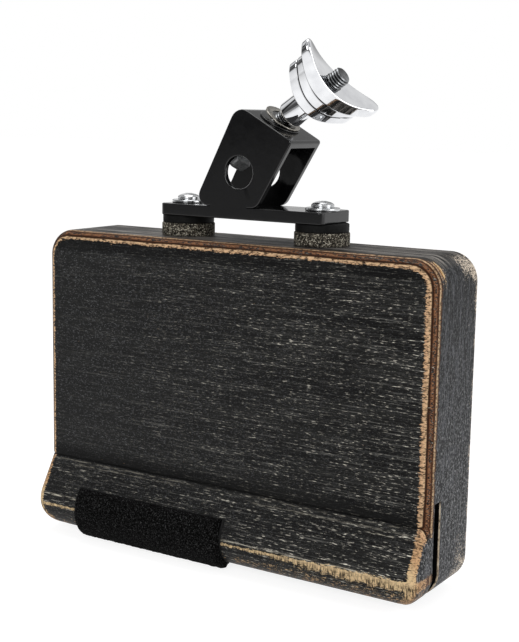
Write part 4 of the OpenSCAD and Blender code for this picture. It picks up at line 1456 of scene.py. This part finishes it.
# %% Floor
FLOOR_DROP, FLOOR_HALF, FLOOR_GLOW = 0.3 * MM, 6.0, 0.84
GLOW_FROM_Y, GLOW_TO_Y, LEAST_GLOW = -1.0, -0.3, 0.15
RAYS = ("Is Camera Ray", "Is Glossy Ray", "Is Transmission Ray")
form = bmesh.new()
bmesh.ops.create_grid(form, x_segments=1, y_segments=1, size=FLOOR_HALF)
for vertex in form.verts:
    vertex.co.z = cad_box[0][2] - FLOOR_DROP
floor = new_object("floor", mesh_from(form, "floor"))
paper, tree, shader = new_material("White paper floor", Roughness=0.9, Specular_IOR_Level=0.0,
                                   Emission_Color=linear("#ffffff"))
camera_ray, glossy_ray, clear_ray = [add_node(tree, "ShaderNodeLightPath", out=ray) for ray in RAYS]
seen = add_node(tree, "ShaderNodeMath", {0: camera_ray, 1: glossy_ray}, operation="MAXIMUM")
seen = add_node(tree, "ShaderNodeMath", {0: seen, 1: clear_ray}, operation="MAXIMUM")
white = add_node(tree, "ShaderNodeMix", {0: seen, 6: "#f0f0f0", 7: "#a0a0a0"}, 2, data_type="RGBA")
tree.links.new(white, shader.inputs["Base Color"])
place = add_node(tree, "ShaderNodeTexCoord", out="Object")
backwards = add_node(tree, "ShaderNodeSeparateXYZ", {0: place}, out="Y")
near = add_node(tree, "ShaderNodeMapRange", {
    "Value": backwards, "From Min": GLOW_FROM_Y, "From Max": GLOW_TO_Y, "To Min": LEAST_GLOW})
near = add_node(tree, "ShaderNodeMath", {0: near, 1: camera_ray}, operation="MAXIMUM")
glow = add_node(tree, "ShaderNodeMath", {0: seen, 1: near}, operation="MULTIPLY")
glow = add_node(tree, "ShaderNodeMath", {0: glow, 1: FLOOR_GLOW}, operation="MULTIPLY")
tree.links.new(glow, shader.inputs["Emission Strength"])
floor.data.materials.append(paper)
print("floor at", round(cad_box[0][2] - FLOOR_DROP, 4), "m")

# %% [markdown]
# The world is white to the camera and through glass, and plain and dimmer as a
# light. A studio has dark gaps between its white sheets, and polished metal
# shows them as dark stripes, without which chrome looks like white plastic.
# Only the rays that leave a glossy surface see them, so the light stays plain.

# %% World
WORLD_LIGHT = 0.5
BRIGHT_WAY, SHEETS_FROM, SHEETS_TO = (0.15, 0.7, 0.7), -0.45, 0.15
LEAST_LIGHT, MOST_LIGHT = 0.08, 0.85
GAPS = [  # where a gap starts, is full, still is full and ends, round the compass, and its light
    (0.055, 0.07, 0.10, 0.115, 0.05), (0.26, 0.275, 0.31, 0.325, 0.1),
    (0.50, 0.52, 0.56, 0.58, 0.15), (0.75, 0.78, 0.82, 0.85, 0.45),
    (0.905, 0.92, 0.945, 0.96, 0.05),
]
gap_ramp = [(0.0, 1.0)]
for start, full, still_full, end, light in GAPS:
    gap_ramp += [(start, 1.0), (full, light), (still_full, light), (end, 1.0)]
world = bpy.data.worlds.new("studio")
scene.world = world
world.use_nodes = True
tree = world.node_tree
background = tree.nodes["Background"]
camera_ray, glossy_ray, clear_ray = [add_node(tree, "ShaderNodeLightPath", out=ray) for ray in RAYS]
towards = add_node(tree, "ShaderNodeTexCoord", out="Generated")
sheets = add_node(tree, "ShaderNodeVectorMath", {0: towards, 1: BRIGHT_WAY}, "Value",
                  operation="DOT_PRODUCT")
sheet_light = add_node(tree, "ShaderNodeMapRange", {
    "Value": sheets, "From Min": SHEETS_FROM, "From Max": SHEETS_TO,
    "To Min": LEAST_LIGHT, "To Max": MOST_LIGHT})
compass = add_node(tree, "ShaderNodeTexGradient", {0: towards}, "Fac", gradient_type="RADIAL")
gaps = add_node(tree, "ShaderNodeValToRGB", {0: compass}, ramp=gap_ramp)
reflected = add_node(tree, "ShaderNodeMath", {0: sheet_light, 1: gaps}, operation="MULTIPLY")
extra = add_node(tree, "ShaderNodeMath", {0: reflected, 1: WORLD_LIGHT}, operation="SUBTRACT")
strength = add_node(tree, "ShaderNodeMath", {0: glossy_ray, 1: extra, 2: WORLD_LIGHT},
                    operation="MULTIPLY_ADD")
seen = add_node(tree, "ShaderNodeMath", {0: camera_ray, 1: clear_ray}, operation="MAXIMUM")
strength = add_node(tree, "ShaderNodeMath", {0: strength, 1: seen}, operation="MAXIMUM")
background.inputs["Color"].default_value = linear("#ffffff")
tree.links.new(strength, background.inputs["Strength"])
print("dark gaps between the sheets:", len(GAPS))

# %% [markdown]
# Three large soft lamps stand where a studio has them: above, in front and at
# the right. All have the same low power, at which a colour looks as written.

# %% Lamps
LAMP_W, LIT = 3.0, Vector((0, 0, -0.06))
for name, stand, size in (("top_lamp", (-0.1, 0.1, 0.75), 0.5),
                          ("front_lamp", (0.15, -0.85, 0.3), 0.45),
                          ("right_lamp", (0.9, 0.1, 0.2), 0.5)):
    lamp = new_object(name, bpy.data.lights.new(name, "AREA"))
    lamp.data.shape = "SQUARE"
    lamp.data.size = size
    lamp.data.energy = LAMP_W
    lamp.location = stand
    lamp.rotation_euler = (LIT - lamp.location).to_track_quat("-Z", "Y").to_euler()
    print(name, "stands", round((LIT - lamp.location).length, 2), "m away")
scene.view_settings.view_transform = "Standard"

# %% [markdown]
# The CAD model's own box is printed.

# %% Print the CAD model's box
print("the CAD model's box:", [[round(v, 4) for v in corner] for corner in cad_box])
